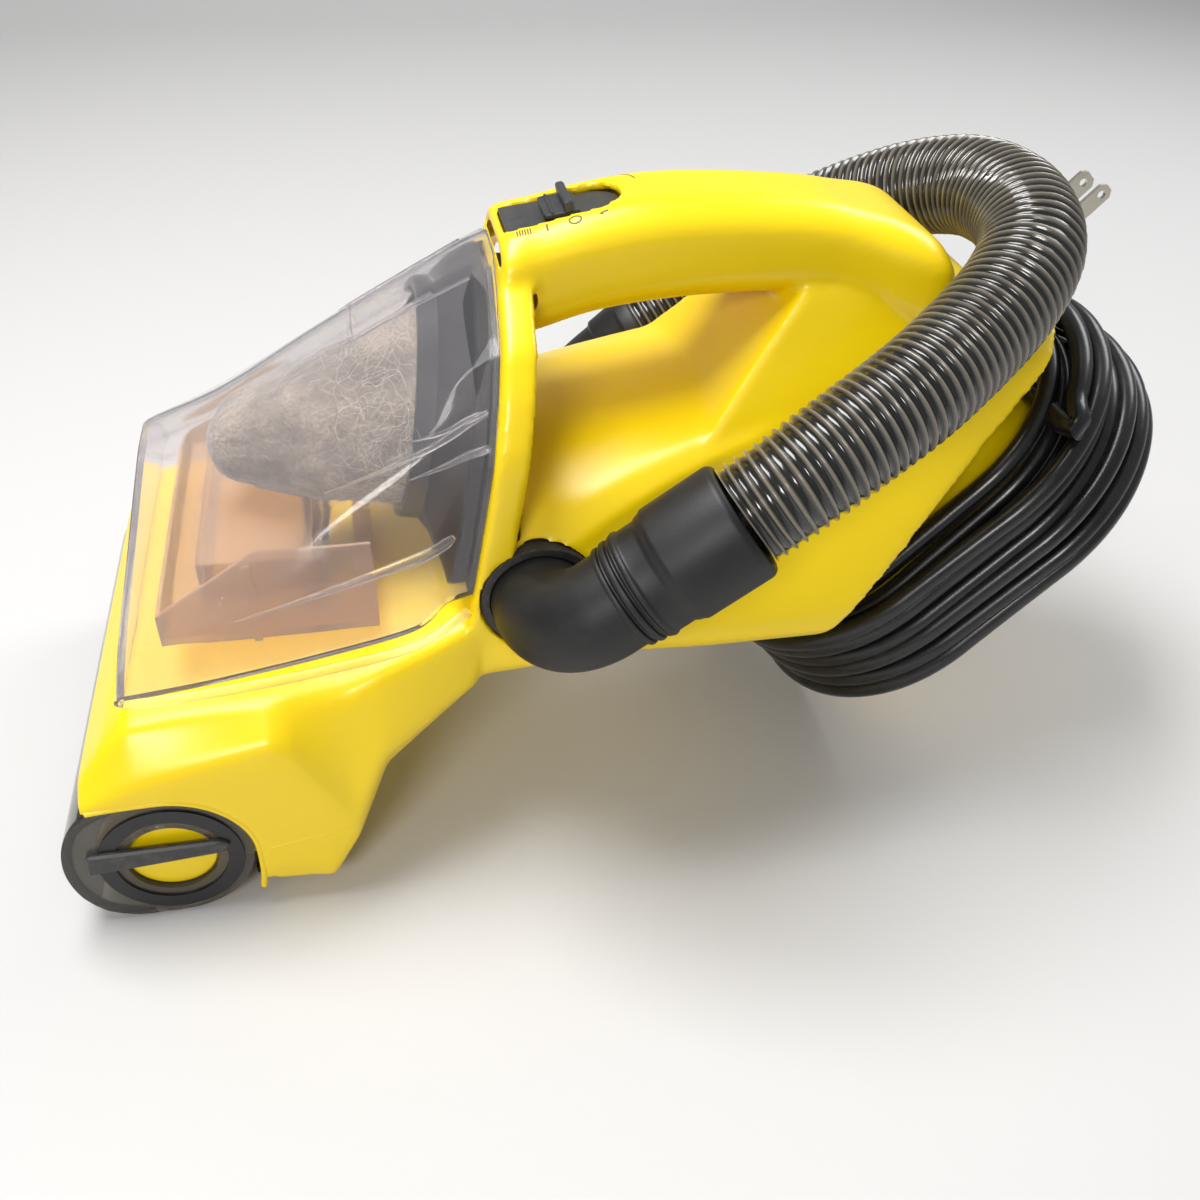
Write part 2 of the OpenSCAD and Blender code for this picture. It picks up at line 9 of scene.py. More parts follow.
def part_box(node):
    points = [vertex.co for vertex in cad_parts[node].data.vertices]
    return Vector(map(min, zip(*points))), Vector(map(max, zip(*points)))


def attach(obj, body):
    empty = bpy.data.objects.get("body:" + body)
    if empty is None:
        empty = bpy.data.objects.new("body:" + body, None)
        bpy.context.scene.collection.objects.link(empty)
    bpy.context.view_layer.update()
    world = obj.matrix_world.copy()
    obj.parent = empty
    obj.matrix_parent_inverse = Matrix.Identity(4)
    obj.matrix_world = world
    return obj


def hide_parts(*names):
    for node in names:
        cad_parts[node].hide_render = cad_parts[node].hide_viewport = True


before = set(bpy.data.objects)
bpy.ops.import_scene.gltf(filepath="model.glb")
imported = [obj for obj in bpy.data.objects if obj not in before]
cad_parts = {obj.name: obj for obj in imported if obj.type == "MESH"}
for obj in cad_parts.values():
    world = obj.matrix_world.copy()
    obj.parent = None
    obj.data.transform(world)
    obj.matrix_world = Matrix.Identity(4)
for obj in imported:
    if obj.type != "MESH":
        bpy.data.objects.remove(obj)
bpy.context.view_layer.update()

# ==================== Studio ====================
# A pale seamless floor and wall, one large lamp above the left front, a fill from the right and a rim from
# behind. The camera looks down on the near side from the front left. Names that end in MM are in mm.
MM = 0.001
VISOR_FRONT_MM = -3.0
FRONT_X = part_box("riser_visor")[0].x - VISOR_FRONT_MM * MM


def at(x, y, z):
    """A place given in mm from the brush side's datum, as a point in the frame."""
    return Vector((FRONT_X + x * MM, y * MM, z * MM))


def turned(pitch, yaw, roll):
    """The camera's right, down and forward directions for three angles in degrees."""
    p, q, r = (math.radians(a) for a in (pitch, yaw, roll))
    up = np.array([0, -math.cos(p), -math.sin(p)])
    ahead = np.array([0, -math.sin(p), math.cos(p)])
    right = np.array([1.0, 0, 0])
    columns = [math.cos(q) * right + math.sin(q) * ahead, -math.sin(q) * right + math.cos(q) * ahead, up]
    spin = np.array([[math.cos(r), -math.sin(r), 0], [math.sin(r), math.cos(r), 0], [0, 0, 1]])
    return spin @ np.array(columns).T


camera_data = bpy.data.cameras.new("camera")
camera_data.lens = 36
camera_data.sensor_width = 36
camera = bpy.data.objects.new("camera", camera_data)
bpy.context.scene.collection.objects.link(camera)
axes = turned(38, 12.2, 1.8)
camera.matrix_world = Matrix.Translation(at(103.5, -339.5, 316.3)) @ Matrix(
    [[axes[0][i], -axes[1][i], -axes[2][i]] for i in range(3)]).to_4x4()
bpy.context.scene.camera = camera
bpy.context.scene.view_settings.view_transform = "Standard"


def lamp(name, place, target, size, power, colour=(1, 1, 1)):
    data = bpy.data.lights.new(name, "AREA")
    data.shape = "RECTANGLE"
    data.size, data.size_y = size
    data.energy = power
    data.color = colour
    light = bpy.data.objects.new(name, data)
    light.location = place
    light.rotation_euler = (Vector(target) - Vector(place)).to_track_quat("-Z", "Y").to_euler()
    bpy.context.scene.collection.objects.link(light)


lamp("key_lamp", (-0.35, 0.15, 1.2), (0, 0, 0.05), (0.8, 0.5), 16)
lamp("fill_lamp", (-0.5, -1.0, 0.75), (0, 0, 0.08), (0.35, 0.25), 6, (1, 0.98, 0.95))
lamp("rim_lamp", (0.9, 0.5, 0.9), (0, 0, 0.1), (0.8, 0.4), 6, (0.96, 0.98, 1))
world = bpy.data.worlds.new("studio")
bpy.context.scene.world = world
world.use_nodes = True
world.node_tree.nodes["Background"].inputs["Color"].default_value = (0.93, 0.96, 1.0, 1)
world.node_tree.nodes["Background"].inputs["Strength"].default_value = 0.34

floor_mesh = bpy.data.meshes.new("floor")
FLOOR_HALF, WALL_Y, WALL_TOP, CORNER = 3.0, 1.6, 3.0, 0.5
profile = [(-FLOOR_HALF, 0), (WALL_Y - CORNER, 0)]
profile += [(WALL_Y - CORNER + CORNER * math.sin(a), CORNER - CORNER * math.cos(a))
            for a in np.linspace(0.1, math.pi / 2, 16)]
profile += [(WALL_Y, WALL_TOP)]
floor_points = [(x, y, z) for x in (-FLOOR_HALF, FLOOR_HALF) for y, z in profile]
floor_faces = [(i, i + 1, i + 1 + len(profile), i + len(profile)) for i in range(len(profile) - 1)]
floor_mesh.from_pydata(floor_points, [], floor_faces)
floor = bpy.data.objects.new("floor", floor_mesh)
bpy.context.scene.collection.objects.link(floor)
for face in floor_mesh.polygons:
    face.use_smooth = True
floor_finish = bpy.data.materials.new("pale_floor")
floor_finish.use_nodes = True
floor_finish.node_tree.nodes["Principled BSDF"].inputs["Base Color"].default_value = (0.62, 0.61, 0.6, 1)
floor_finish.node_tree.nodes["Principled BSDF"].inputs["Roughness"].default_value = 0.6
floor_mesh.materials.append(floor_finish)


# ==================== Stretch hose ====================
# A wire-wound hose of smoky soft plastic, 31 mm across its ridges. It leaves the near cuff, climbs over the
# tail behind the handle and comes down the far side to its parking socket. It is swept along its own route.
def smooth_path(points, step):
    """A Catmull-Rom curve through the points, with a point about every step metres."""
    p = [2 * points[0] - points[1], *points, 2 * points[-1] - points[-2]]
    fine = []
    for i in range(1, len(p) - 2):
        parts = max(2, round((p[i + 1] - p[i]).length / step))
        for k in range(parts):
            t = k / parts
            fine.append(0.5 * ((2 * p[i]) + (p[i + 1] - p[i - 1]) * t
                               + (2 * p[i - 1] - 5 * p[i] + 4 * p[i + 1] - p[i + 2]) * t * t
                               + (3 * p[i] - p[i - 1] - 3 * p[i + 1] + p[i + 2]) * t ** 3))
    return [*fine, points[-1]]


def lengths_along(points):
    return np.concatenate([[0], np.cumsum([(b - a).length for a, b in zip(points, points[1:])])])


def bands(rings, n, closed=False):
    """Faces between rings of n points each, the last ring joined to the first one if closed."""
    return [(i * n + k, i * n + (k + 1) % n, j * n + (k + 1) % n, j * n + k)
            for i, j in ((i, (i + 1) % rings) for i in range(rings if closed else rings - 1))
            for k in range(n)]


def swept(points, radii, sides, squeeze=1.0, capped=True):
    """Vertices and faces of a tube along the points, with a radius at each, in a frame that doesn't twist."""
    verts = []
    normal = None
    count = len(points)
    faces = bands(count, sides)
    for i in range(count):
        ahead = (points[min(i + 1, count - 1)] - points[max(i - 1, 0)]).normalized()
        if normal is None:
            normal = ahead.orthogonal().normalized()
        normal = (normal - ahead * normal.dot(ahead)).normalized()
        other = ahead.cross(normal)
        for k in range(sides):
            turn = 2 * math.pi * k / sides
            spoke = math.cos(turn) * normal + squeeze * math.sin(turn) * other
            verts.append(points[i] + float(radii[i]) * spoke)
    if capped:
        faces.append(tuple(reversed(range(sides))))
        faces.append(tuple(range((count - 1) * sides, count * sides)))
    return verts, faces


def sharpen(mesh, angle):
    """Shades smooth, but keeps edges sharper than the angle, in degrees."""
    form = bmesh.new()
    form.from_mesh(mesh)
    bmesh.ops.recalc_face_normals(form, faces=form.faces)
    for face in form.faces:
        face.smooth = True
    limit = math.radians(angle)
    for edge in form.edges:
        edge.smooth = len(edge.link_faces) != 2 or edge.calc_face_angle(0) < limit
    form.to_mesh(mesh)
    form.free()


def piece(name, verts, faces, body, slot, finish, replaces=(), angle=35):
    """A new piece from vertices and faces: shaded, finished, riding its body, standing for its CAD nodes."""
    mesh = bpy.data.meshes.new(name)
    mesh.from_pydata([tuple(v) for v in verts], [], faces)
    sharpen(mesh, angle)
    mesh.materials.append(finish)
    made = bpy.data.objects.new(name, mesh)
    bpy.context.scene.collection.objects.link(made)
    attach(made, body)
    if replaces:
        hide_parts(*replaces)
    return made


def node(tree, kind, links=None, **values):
    """A shader node with its settings; links maps its inputs to other nodes' outputs."""
    made = tree.nodes.new(kind)
    for key, value in values.items():
        if hasattr(made, key):
            setattr(made, key, value)
        else:
            made.inputs[key].default_value = value
    for socket, source in (links or {}).items():
        tree.links.new(source, made.inputs[socket])
    return made


def group(name, inputs, outputs):
    """An empty shader node group with named sockets, its input node and its output node."""
    tree = bpy.data.node_groups.new(name, "ShaderNodeTree")
    for label, (kind, value) in inputs.items():
        socket = tree.interface.new_socket(label, in_out="INPUT", socket_type=kind)
        socket.default_value = value
    for label, kind in outputs.items():
        tree.interface.new_socket(label, in_out="OUTPUT", socket_type=kind)
    return tree, tree.nodes.new("NodeGroupInput"), tree.nodes.new("NodeGroupOutput")


COLOUR, FLOAT = "NodeSocketColor", "NodeSocketFloat"

# worn surface: patches of dust and a slow change of shade, with the roughness and fine grain that go with it
worn, worn_in, worn_out = group("worn_surface", {
    "Colour": (COLOUR, (0.5, 0.5, 0.5, 1)), "Dust Colour": (COLOUR, (0.4, 0.37, 0.32, 1)),
    "Dust": (FLOAT, 0.2),
    "Roughness": (FLOAT, 0.4), "Patch Scale": (FLOAT, 30), "Grain Scale": (FLOAT, 1500)},
    {"Colour": COLOUR, "Roughness": FLOAT, "Height": FLOAT})
place = node(worn, "ShaderNodeTexCoord").outputs["Object"]
patches = node(worn, "ShaderNodeTexNoise", {"Vector": place, "Scale": worn_in.outputs["Patch Scale"]},
               Detail=8.0, Roughness=0.68)
specks = node(worn, "ShaderNodeTexNoise", {"Vector": place, "Scale": worn_in.outputs["Grain Scale"]},
              Detail=2.0)
patch_mask = node(worn, "ShaderNodeMapRange", {"Value": patches.outputs["Fac"]},
                  **{"From Min": 0.42, "From Max": 0.78})
speck_mask = node(worn, "ShaderNodeMapRange", {"Value": specks.outputs["Fac"]},
                  **{"From Min": 0.35, "From Max": 0.7, "To Min": 0.35})
both = node(worn, "ShaderNodeMath", {0: patch_mask.outputs[0], 1: speck_mask.outputs[0]},
            operation="MULTIPLY")
dusty = node(worn, "ShaderNodeMath", {0: both.outputs[0], 1: worn_in.outputs["Dust"]},
             operation="MULTIPLY", use_clamp=True)
slow = node(worn, "ShaderNodeTexNoise", {"Vector": place}, Scale=9.0, Detail=2.0)
shade = node(worn, "ShaderNodeMapRange", {"Value": slow.outputs["Fac"]}, **{"To Min": 0.93, "To Max": 1.05})
shaded = node(worn, "ShaderNodeVectorMath", {0: worn_in.outputs["Colour"]}, operation="SCALE")
worn.links.new(shade.outputs[0], shaded.inputs["Scale"])
mixed = node(worn, "ShaderNodeMix", {"Factor": dusty.outputs[0]}, data_type="RGBA")
worn.links.new(shaded.outputs[0], mixed.inputs[6])
worn.links.new(worn_in.outputs["Dust Colour"], mixed.inputs[7])
rougher = node(worn, "ShaderNodeMath", {0: dusty.outputs[0], 2: worn_in.outputs["Roughness"]},
               operation="MULTIPLY_ADD")
rougher.inputs[1].default_value = 0.4
wavering = node(worn, "ShaderNodeMath", {0: patches.outputs["Fac"], 2: rougher.outputs[0]},
                operation="MULTIPLY_ADD")
wavering.inputs[1].default_value = 0.06
worn.links.new(mixed.outputs[2], worn_out.inputs["Colour"])
worn.links.new(wavering.outputs[0], worn_out.inputs["Roughness"])
worn.links.new(specks.outputs["Fac"], worn_out.inputs["Height"])


def finish(name, colour, roughness, dust=0.15, grain=0.00002, patch=30, grain_scale=1500,
           dust_colour=(0.42, 0.39, 0.34, 1), lets_light=False, **shader):
    """A worn material: the shared surface feeds one Principled shader, with plain values on its sockets."""
    made = bpy.data.materials.new(name)
    made.use_nodes = True
    tree = made.node_tree
    surface = tree.nodes["Principled BSDF"]
    wear = node(tree, "ShaderNodeGroup", node_tree=worn)
    for label, value in {"Colour": (*colour, 1), "Dust Colour": dust_colour, "Dust": dust,
                         "Roughness": roughness,
                         "Patch Scale": patch, "Grain Scale": grain_scale}.items():
        wear.inputs[label].default_value = value
    bump = node(tree, "ShaderNodeBump", {"Height": wear.outputs["Height"]}, Strength=1.0, Distance=grain)
    tree.links.new(wear.outputs["Colour"], surface.inputs["Base Color"])
    tree.links.new(wear.outputs["Roughness"], surface.inputs["Roughness"])
    tree.links.new(bump.outputs[0], surface.inputs["Normal"])
    for label, value in shader.items():
        surface.inputs[label.replace("_", " ")].default_value = value
    if lets_light:
        clear = node(tree, "ShaderNodeBsdfTransparent", Color=(*lets_light, 1))
        rays = node(tree, "ShaderNodeLightPath")
        sockets = {0: rays.outputs["Is Shadow Ray"], 1: surface.outputs[0], 2: clear.outputs[0]}
        mix = node(tree, "ShaderNodeMixShader", sockets)
        tree.links.new(mix.outputs[0], tree.nodes["Material Output"].inputs["Surface"])
    return made


HOSE_MM = [(200, -80, 133), (213, -79, 142), (229, -75, 151), (248, -68, 160), (266, -58, 168),
           (282, -47, 176),
           (294, -34, 183), (300, -18, 187), (301, 0, 188), (297, 18, 186), (287, 36, 179), (273, 52, 168),
           (257, 63, 156), (240, 69, 140), (223, 71, 127), (206, 71, 116)]
HOSE_R = 15.5 * MM
RIDGE_PITCH = 3.2 * MM
RIDGE_HIGH = 1.2 * MM
hose_path = smooth_path([at(*p) for p in HOSE_MM], 0.35 * MM)
hose_along = lengths_along(hose_path)
# narrow round ridges over a wider round valley
ridge = np.abs(np.cos(math.pi * hose_along / RIDGE_PITCH)) ** 5
hose_finish = finish("smoked_hose", (0.006, 0.006, 0.0055), 0.14, dust=0.22, patch=35, grain=0.00001,
                     Coat_Weight=0.5,
                     dust_colour=(0.12, 0.105, 0.085, 1))
crest = node(hose_finish.node_tree, "ShaderNodeAttribute", attribute_name="ridge")
tan = node(hose_finish.node_tree, "ShaderNodeMix", {"Factor": crest.outputs["Fac"]}, data_type="RGBA")
wear_node = next(n for n in hose_finish.node_tree.nodes if n.type == "GROUP")
hose_finish.node_tree.links.new(wear_node.outputs["Colour"], tan.inputs[6])
tan.inputs[7].default_value = (0.2, 0.175, 0.135, 1)
hose_finish.node_tree.links.new(tan.outputs[2],
                                hose_finish.node_tree.nodes["Principled BSDF"].inputs["Base Color"])
HOSE_SIDES = 40
hose_verts, hose_faces = swept(hose_path, HOSE_R - RIDGE_HIGH + RIDGE_HIGH * ridge, HOSE_SIDES)
hose = piece("stretch_hose", hose_verts, hose_faces, "body", "smoked_hose", hose_finish, ["hose"], angle=80)
crest_values = hose.data.attributes.new("ridge", "FLOAT", "POINT")
crests = np.repeat(np.clip(ridge * 1.3 - 0.3, 0, 1), HOSE_SIDES)
crest_values.data.foreach_set("value", crests.astype(np.float32))


# ==================== Elbow and cuffs ====================
# The hose turns out of the body in a matt black moulded elbow with a grooved ring. Two stepped cuffs grip the
# hose's near end, and a tapered cuff on its far end is parked on a socket on the body's right side.
def turned_ring(profile, sides=64):
    """Vertices and faces of a ring turned about Z from a closed outline of (radius, height) in mm."""
    verts = [Vector((r * math.cos(a), r * math.sin(a), h)) * MM
             for a in np.linspace(0, 2 * math.pi, sides, endpoint=False) for r, h in profile]
    return verts, bands(sides, len(profile), closed=True)


def rounded_outline(points, radius, steps=4):
    """A closed outline with rounded corners, each a curve that starts and ends a radius from the corner."""
    result = []
    count = len(points)
    for i in range(count):
        here, before, after = (np.array(points[k % count], float) for k in (i, i - 1, i + 1))
        a = here + (before - here) * min(0.45, radius / max(1e-9, np.linalg.norm(before - here)))
        b = here + (after - here) * min(0.45, radius / max(1e-9, np.linalg.norm(after - here)))
        for t in np.linspace(0, 1, steps):
            result.append((1 - t) ** 2 * a + 2 * t * (1 - t) * here + t * t * b)
    return result


def placed(verts, origin, along, across=(0, 1, 0)):
    """Vertices moved so that their Z lies along one direction, and their Y near another, from an origin."""
    z = Vector(along).normalized()
    x = Vector(across).cross(z).normalized()
    turn = Matrix([x, z.cross(x), z]).transposed()
    return [Vector(origin) + turn @ v for v in verts]


matte_black = finish("matte_black", (0.006, 0.006, 0.0065), 0.45, dust=0.35, patch=70, grain=0.00005,
                     grain_scale=2600,
                     dust_colour=(0.05, 0.047, 0.043, 1))
PORT_MM = (146, -61, 95)
CUFF_TILT = math.radians(35)
cuff_way = Vector((math.cos(CUFF_TILT), 0, math.sin(CUFF_TILT)))
ELBOW_BEND = 19
elbow_path = [at(*PORT_MM) + Vector((0, (10 - k) * MM, 0)) for k in range(0, 10, 2)]
elbow_path += [at(*PORT_MM) + (ELBOW_BEND * (1 - math.cos(a)) * cuff_way
                               + ELBOW_BEND * math.sin(a) * Vector((0, -1, 0))) * MM
               for a in np.linspace(0, math.pi / 2, 24)]
elbow_path += [elbow_path[-1] + cuff_way * k * MM for k in (2, 4, 6)]
elbow_verts, elbow_faces = swept(elbow_path, [15 * MM] * len(elbow_path), 64)
piece("elbow", elbow_verts, elbow_faces, "body", "matte_cuff", matte_black, ["hose_elbow"])
elbow_mouth = at(*PORT_MM) + (ELBOW_BEND * cuff_way + ELBOW_BEND * Vector((0, -1, 0))) * MM


def cuff(name, outline, replaces):
    verts, faces = turned_ring(rounded_outline(outline, 0.7, 3))
    return piece(name, placed(verts, elbow_mouth, cuff_way), faces, "body", "matte_cuff", matte_black,
                 replaces)


cuff("grooved_ring", [(12, 5.4), (16, 5.4), (16, 7), (15, 7.2), (15, 8), (16.4, 8.2), (16.4, 10),
                      (15.4, 10.2), (15.4, 11),
                      (16.6, 11.2), (16.6, 12), (12, 12)], ["elbow_ring"])
cuff("near_cuff", [(12, 12), (17, 12), (17, 13.6), (16.4, 14), (16.4, 20), (17, 20.6), (17.4, 22.4),
                   (18, 23), (18, 44.6),
                               (17, 46.2), (15.7, 46.4), (12, 46)], ["hose_cuff"])
TAIL_MM = (206, 71, 116)
TAIL_TILT = math.radians(33)
tail_way = Vector((-math.cos(TAIL_TILT), 0, -math.sin(TAIL_TILT)))
tail_verts, tail_faces = turned_ring(rounded_outline(
    [(7.6, -1), (15.6, -1), (16.5, 0), (16.5, 5), (15.8, 5.6), (14.6, 16), (13.4, 16.6), (12.6, 24),
     (11.8, 29.6), (7.6, 30)], 0.6, 3))
piece("tail_cuff_piece", placed(tail_verts, at(*TAIL_MM), tail_way), tail_faces, "body", "matte_cuff",
                  matte_black, ["tail_cuff"])

# ==================== Power cord ====================
# A black round mains lead, 7 mm across. It leaves the tapered strain relief under the tail, winds round the
# neck of the cord wrap in two layers of turns, and ends in its plug, which is tucked in above the winding.
WRAP_TILT = math.radians(43.5)
WRAP_ORIGIN_MM = np.array([239.0, 0, 73.0])
slope_way = np.array([math.sin(WRAP_TILT), 0, math.cos(WRAP_TILT)])
wrap_way = np.array([math.cos(WRAP_TILT), 0, -math.sin(WRAP_TILT)])
WRAP_MID = 43
CORD_D = 7.0


def on_wrap(s, y, t):
    """A place on the wrap, in mm: s up the slope from its middle, y across and t along the winding axis."""
    return at(*(WRAP_ORIGIN_MM + (WRAP_MID + s) * slope_way + t * wrap_way + np.array([0, y, 0])))


def oblong(radius, straight, turn):
    """A point on an oblong with round ends, at a share of its way round from the middle of its lower end."""
    half = math.pi * radius / 2
    way = (turn % 1) * (4 * half + 4 * straight)
    if way < half:
        return -straight - radius * math.cos(way / radius), radius * math.sin(way / radius)
    way -= half
    if way < 2 * straight:
        return -straight + way, radius
    way -= 2 * straight
    if way < 2 * half:
        return straight + radius * math.sin(way / radius), radius * math.cos(way / radius)
    way -= 2 * half
    if way < 2 * straight:
        return straight - way, -radius
    way -= 2 * straight
    return -straight - radius * math.sin(way / radius), -radius * math.cos(way / radius)


LEAD_MM = [(192, 24, 50), (200, 23, 47.5), (208, 21, 47), (215, 18, 47.6), (221, 16, 48.5)]
PLUG_MM = (333, 48, 141)
plug_way = Vector((0.69, 0, 0.72)).normalized()
TURNS_IN, TURNS_OUT = 6, 6.62
STRAIGHT = 21
INNER_R, OUTER_R = 45.2, 56.5
POINTS_A_TURN = 44
cord_points = [at(*p) for p in LEAD_MM]
total_turns = TURNS_IN + TURNS_OUT
for i in range(1, int(total_turns * POINTS_A_TURN)):
    turn = i / POINTS_A_TURN
    layer = min(1, max(0, (turn - TURNS_IN + 0.5) * 2))
    radius = INNER_R + (OUTER_R - INNER_R) * layer
    t = 8 + (turn / TURNS_IN) * 43 if turn < TURNS_IN else 53 - (turn - TURNS_IN) / TURNS_OUT * 40
    # the strands wander a little from turn to turn
    wander = Vector((turn * 1.9, 3.1, 0.4))
    radius += 4.0 * (noise.noise(wander * 0.8) + 0.2) * layer + 0.8 * noise.noise(wander * 1.6)
    t += 5.0 * noise.noise(wander * 1.1 + Vector((9, 0, 0)))
    s, y = oblong(radius, STRAIGHT, turn + 0.035)
    cord_points.append(on_wrap(s, y, min(55.5, max(5.5, t))))
plug_back = at(*PLUG_MM)
cord_points += [plug_back - 19 * MM * plug_way, plug_back - 12 * MM * plug_way,
                plug_back - 5 * MM * plug_way, plug_back]
cord_path = smooth_path(cord_points, 2.2 * MM)
cord_black = finish("cord_black", (0.004, 0.004, 0.0045), 0.26, dust=0.2, patch=60, grain=0.00003,
                    Coat_Weight=0.15,
                    dust_colour=(0.11, 0.1, 0.09, 1))
cord_verts, cord_faces = swept(cord_path, [CORD_D / 2 * MM] * len(cord_path), 14)
cord = piece("power_cord", cord_verts, cord_faces, "body", "cord_rubber", cord_black,
             ["cord_lead", "cord_coil", "cord_end"],
             angle=70)

relief_outline = [(1, 0), (4.1, 0), (4.5, 0.8)]
for i in range(5):
    relief_outline += [(4.6 + i * 0.42, 1.6 + i * 4), (5 + i * 0.42, 4 + i * 4),
                       (4.2 + i * 0.42, 4.4 + i * 4)]
relief_outline += [(7, 21), (7, 26), (1, 26)]
relief_verts, relief_faces = turned_ring(relief_outline)
RELIEF_TILT = math.radians(18)
relief_way = Vector((-math.cos(RELIEF_TILT), 0, math.sin(RELIEF_TILT)))
relief = piece("strain_relief_boot", placed(relief_verts, at(*LEAD_MM[0]), relief_way), relief_faces, "body",
               "black_rubber",
               cord_black, ["strain_relief"])


def eased_plate(outline, low, high, ease):
    """A plate in mm from a closed outline, upright along Z, with its top and bottom edges eased."""
    flat = np.array(outline, float)
    along = np.roll(flat, -1, 0) - np.roll(flat, 1, 0)
    along /= np.maximum(1e-9, np.linalg.norm(along, axis=1))[:, None]
    inward = np.stack([-along[:, 1], along[:, 0]], 1)
    if ((flat.mean(0) - flat) * inward).sum() < 0:
        inward = -inward
    rings = []
    for inset, z in ((ease, low), (0, low + ease), (0, high - ease), (ease, high)):
        rings.append([Vector((x, y, z)) * MM for x, y in flat + inset * inward])
    n = len(flat)
    ends = [tuple(reversed(range(n))), tuple(range(3 * n, 4 * n))]
    return [v for r in rings for v in r], [*bands(4, n), *ends]


def slab(size, centre=(0, 0, 0), radius=1.0, steps=3):
    """A box in mm, with its upright edges rounded and its top and bottom edges eased."""
    (a, b, c), (cx, cy, cz) = size, centre
    corners = [(cx + a / 2, cy + b / 2), (cx - a / 2, cy + b / 2), (cx - a / 2, cy - b / 2),
               (cx + a / 2, cy - b / 2)]
    return eased_plate(rounded_outline(corners, radius, steps), cz - c / 2, cz + c / 2,
                       min(radius, c / 3) * 0.6)


def joined(*shapes):
    """Several (vertices, faces) shapes as one."""
    verts, faces = [], []
    for shape_verts, shape_faces in shapes:
        faces += [tuple(i + len(verts) for i in face) for face in shape_faces]
        verts += shape_verts
    return verts, faces


neck_verts, neck_faces = turned_ring([(1, 0), (4.4, 0), (4.6, 2), (4.9, 2.4), (4.9, 4.4), (5.3, 4.8),
                                      (5.3, 7), (5.8, 7.4), (5.8, 10), (6.2, 14), (1, 14)])
plug_shape = joined((neck_verts, neck_faces), slab((13, 22, 15), (0, 0, 21.5), 3.4, 5))
plug = piece("plug_shell", placed(plug_shape[0], plug_back, plug_way), plug_shape[1], "body", "cord_rubber",
             cord_black,
             ["plug_body"])
nickel = finish("nickel", (0.62, 0.58, 0.5), 0.26, dust=0.3, patch=120, grain=0.00001, Metallic=1.0)


def blade(wide, side):
    """A flat plug blade with a chamfered tip and a round hole near its end."""
    outline = [(-wide / 2, 0), (wide / 2, 0), (wide / 2, 15.6), (wide / 2 - 1.9, 17.5),
               (-wide / 2 + 1.9, 17.5), (-wide / 2, 15.6)]
    form = bmesh.new()
    hole = [(1.5 * math.cos(a), 14 - 1.5 * math.sin(a))
            for a in np.linspace(0, 2 * math.pi, 16, endpoint=False)]
    loops = [[form.verts.new((x * MM, 0, z * MM)) for x, z in points] for points in (outline, hole)]
    edges = [form.edges.new((loop[i], loop[(i + 1) % len(loop)])) for loop in loops for i in range(len(loop))]
    bmesh.ops.triangle_fill(form, edges=edges, use_beauty=True)
    raised = bmesh.ops.extrude_face_region(form, geom=form.faces[:])
    bmesh.ops.translate(form, verts=[v for v in raised["geom"] if isinstance(v, bmesh.types.BMVert)],
                        vec=(0, 1.5 * MM, 0))
    form.verts.index_update()
    verts = [v.co + Vector((0, side * 6.35 - 0.75, 29)) * MM for v in form.verts]
    faces = [tuple(v.index for v in f.verts) for f in form.faces]
    form.free()
    return verts, faces


blades_shape = joined(blade(7.9, 1), blade(6.3, -1))
blades = piece("plug_pins", placed(blades_shape[0], plug_back, plug_way), blades_shape[1], "body", "nickel",
               nickel,
               ["plug_blades"], angle=30)

# ==================== Body shells and nozzle hood ====================
# Bright yellow moulded shells: a left and a right half with the arch, the motor pod, the handle and the tail,
# and the wide nozzle hood in front. All are cut from one flowing form, so that their surfaces run on.


def ring_of(half, lean, x, per_edge):
    """A closed section: the half outline and its mirror, rounded, in even steps, and leaned about 90 mm."""
    full = list(half) + [(-y, z) for y, z in reversed(half)]
    points = []
    count = len(full)
    for i in range(count):
        a, b = np.array(full[i], float), np.array(full[(i + 1) % count], float)
        points += [a + (b - a) * k / per_edge for k in range(per_edge)]
    points = np.array(points)
    for _ in range(2):
        points = 0.5 * points + 0.25 * (np.roll(points, 1, 0) + np.roll(points, -1, 0))
    return [(x + lean * (z - 90), y, z) for y, z in points]


def offset_ring(ring, inset):
    """A section pulled inwards by an inset, square to its own outline."""
    points = np.array(ring)
    flat = points[:, 1:]
    along = np.roll(flat, -1, 0) - np.roll(flat, 1, 0)
    along /= np.maximum(1e-9, np.linalg.norm(along, axis=1))[:, None]
    inward = np.stack([-along[:, 1], along[:, 0]], 1)
    if ((flat.mean(0) - flat) * inward).sum() < 0:
        inward = -inward
    moved = flat + inset * inward
    return [(p[0], *q) for p, q in zip(ring, moved)]


def lofted(rings, capped=True):
    """Vertices and faces of a skin through closed rings of points in mm."""
    n = len(rings[0])
    verts = [at(*p) for ring in rings for p in ring]
    faces = bands(len(rings), n)
    if capped:
        faces += [tuple(reversed(range(n))), tuple(range((len(rings) - 1) * n, len(rings) * n))]
    return verts, faces


def between(rings, parts, bend=True):
    """The rings with more added between them, on smooth curves or on straight lines."""
    grid = np.array(rings)
    padded = np.concatenate([2 * grid[:1] - grid[1:2], grid, 2 * grid[-1:] - grid[-2:-1]])
    result = []
    for i in range(1, len(padded) - 2):
        p, a, b, q = padded[i - 1:i + 3]
        for t in np.arange(parts) / parts:
            result.append((1 - t) * a + t * b if not bend
                          else 0.5 * (2 * a + (b - p) * t + (2 * p - 5 * a + 4 * b - q) * t ** 2
                                      + (3 * a - p - 3 * b + q) * t ** 3))
    return [*result, grid[-1]]


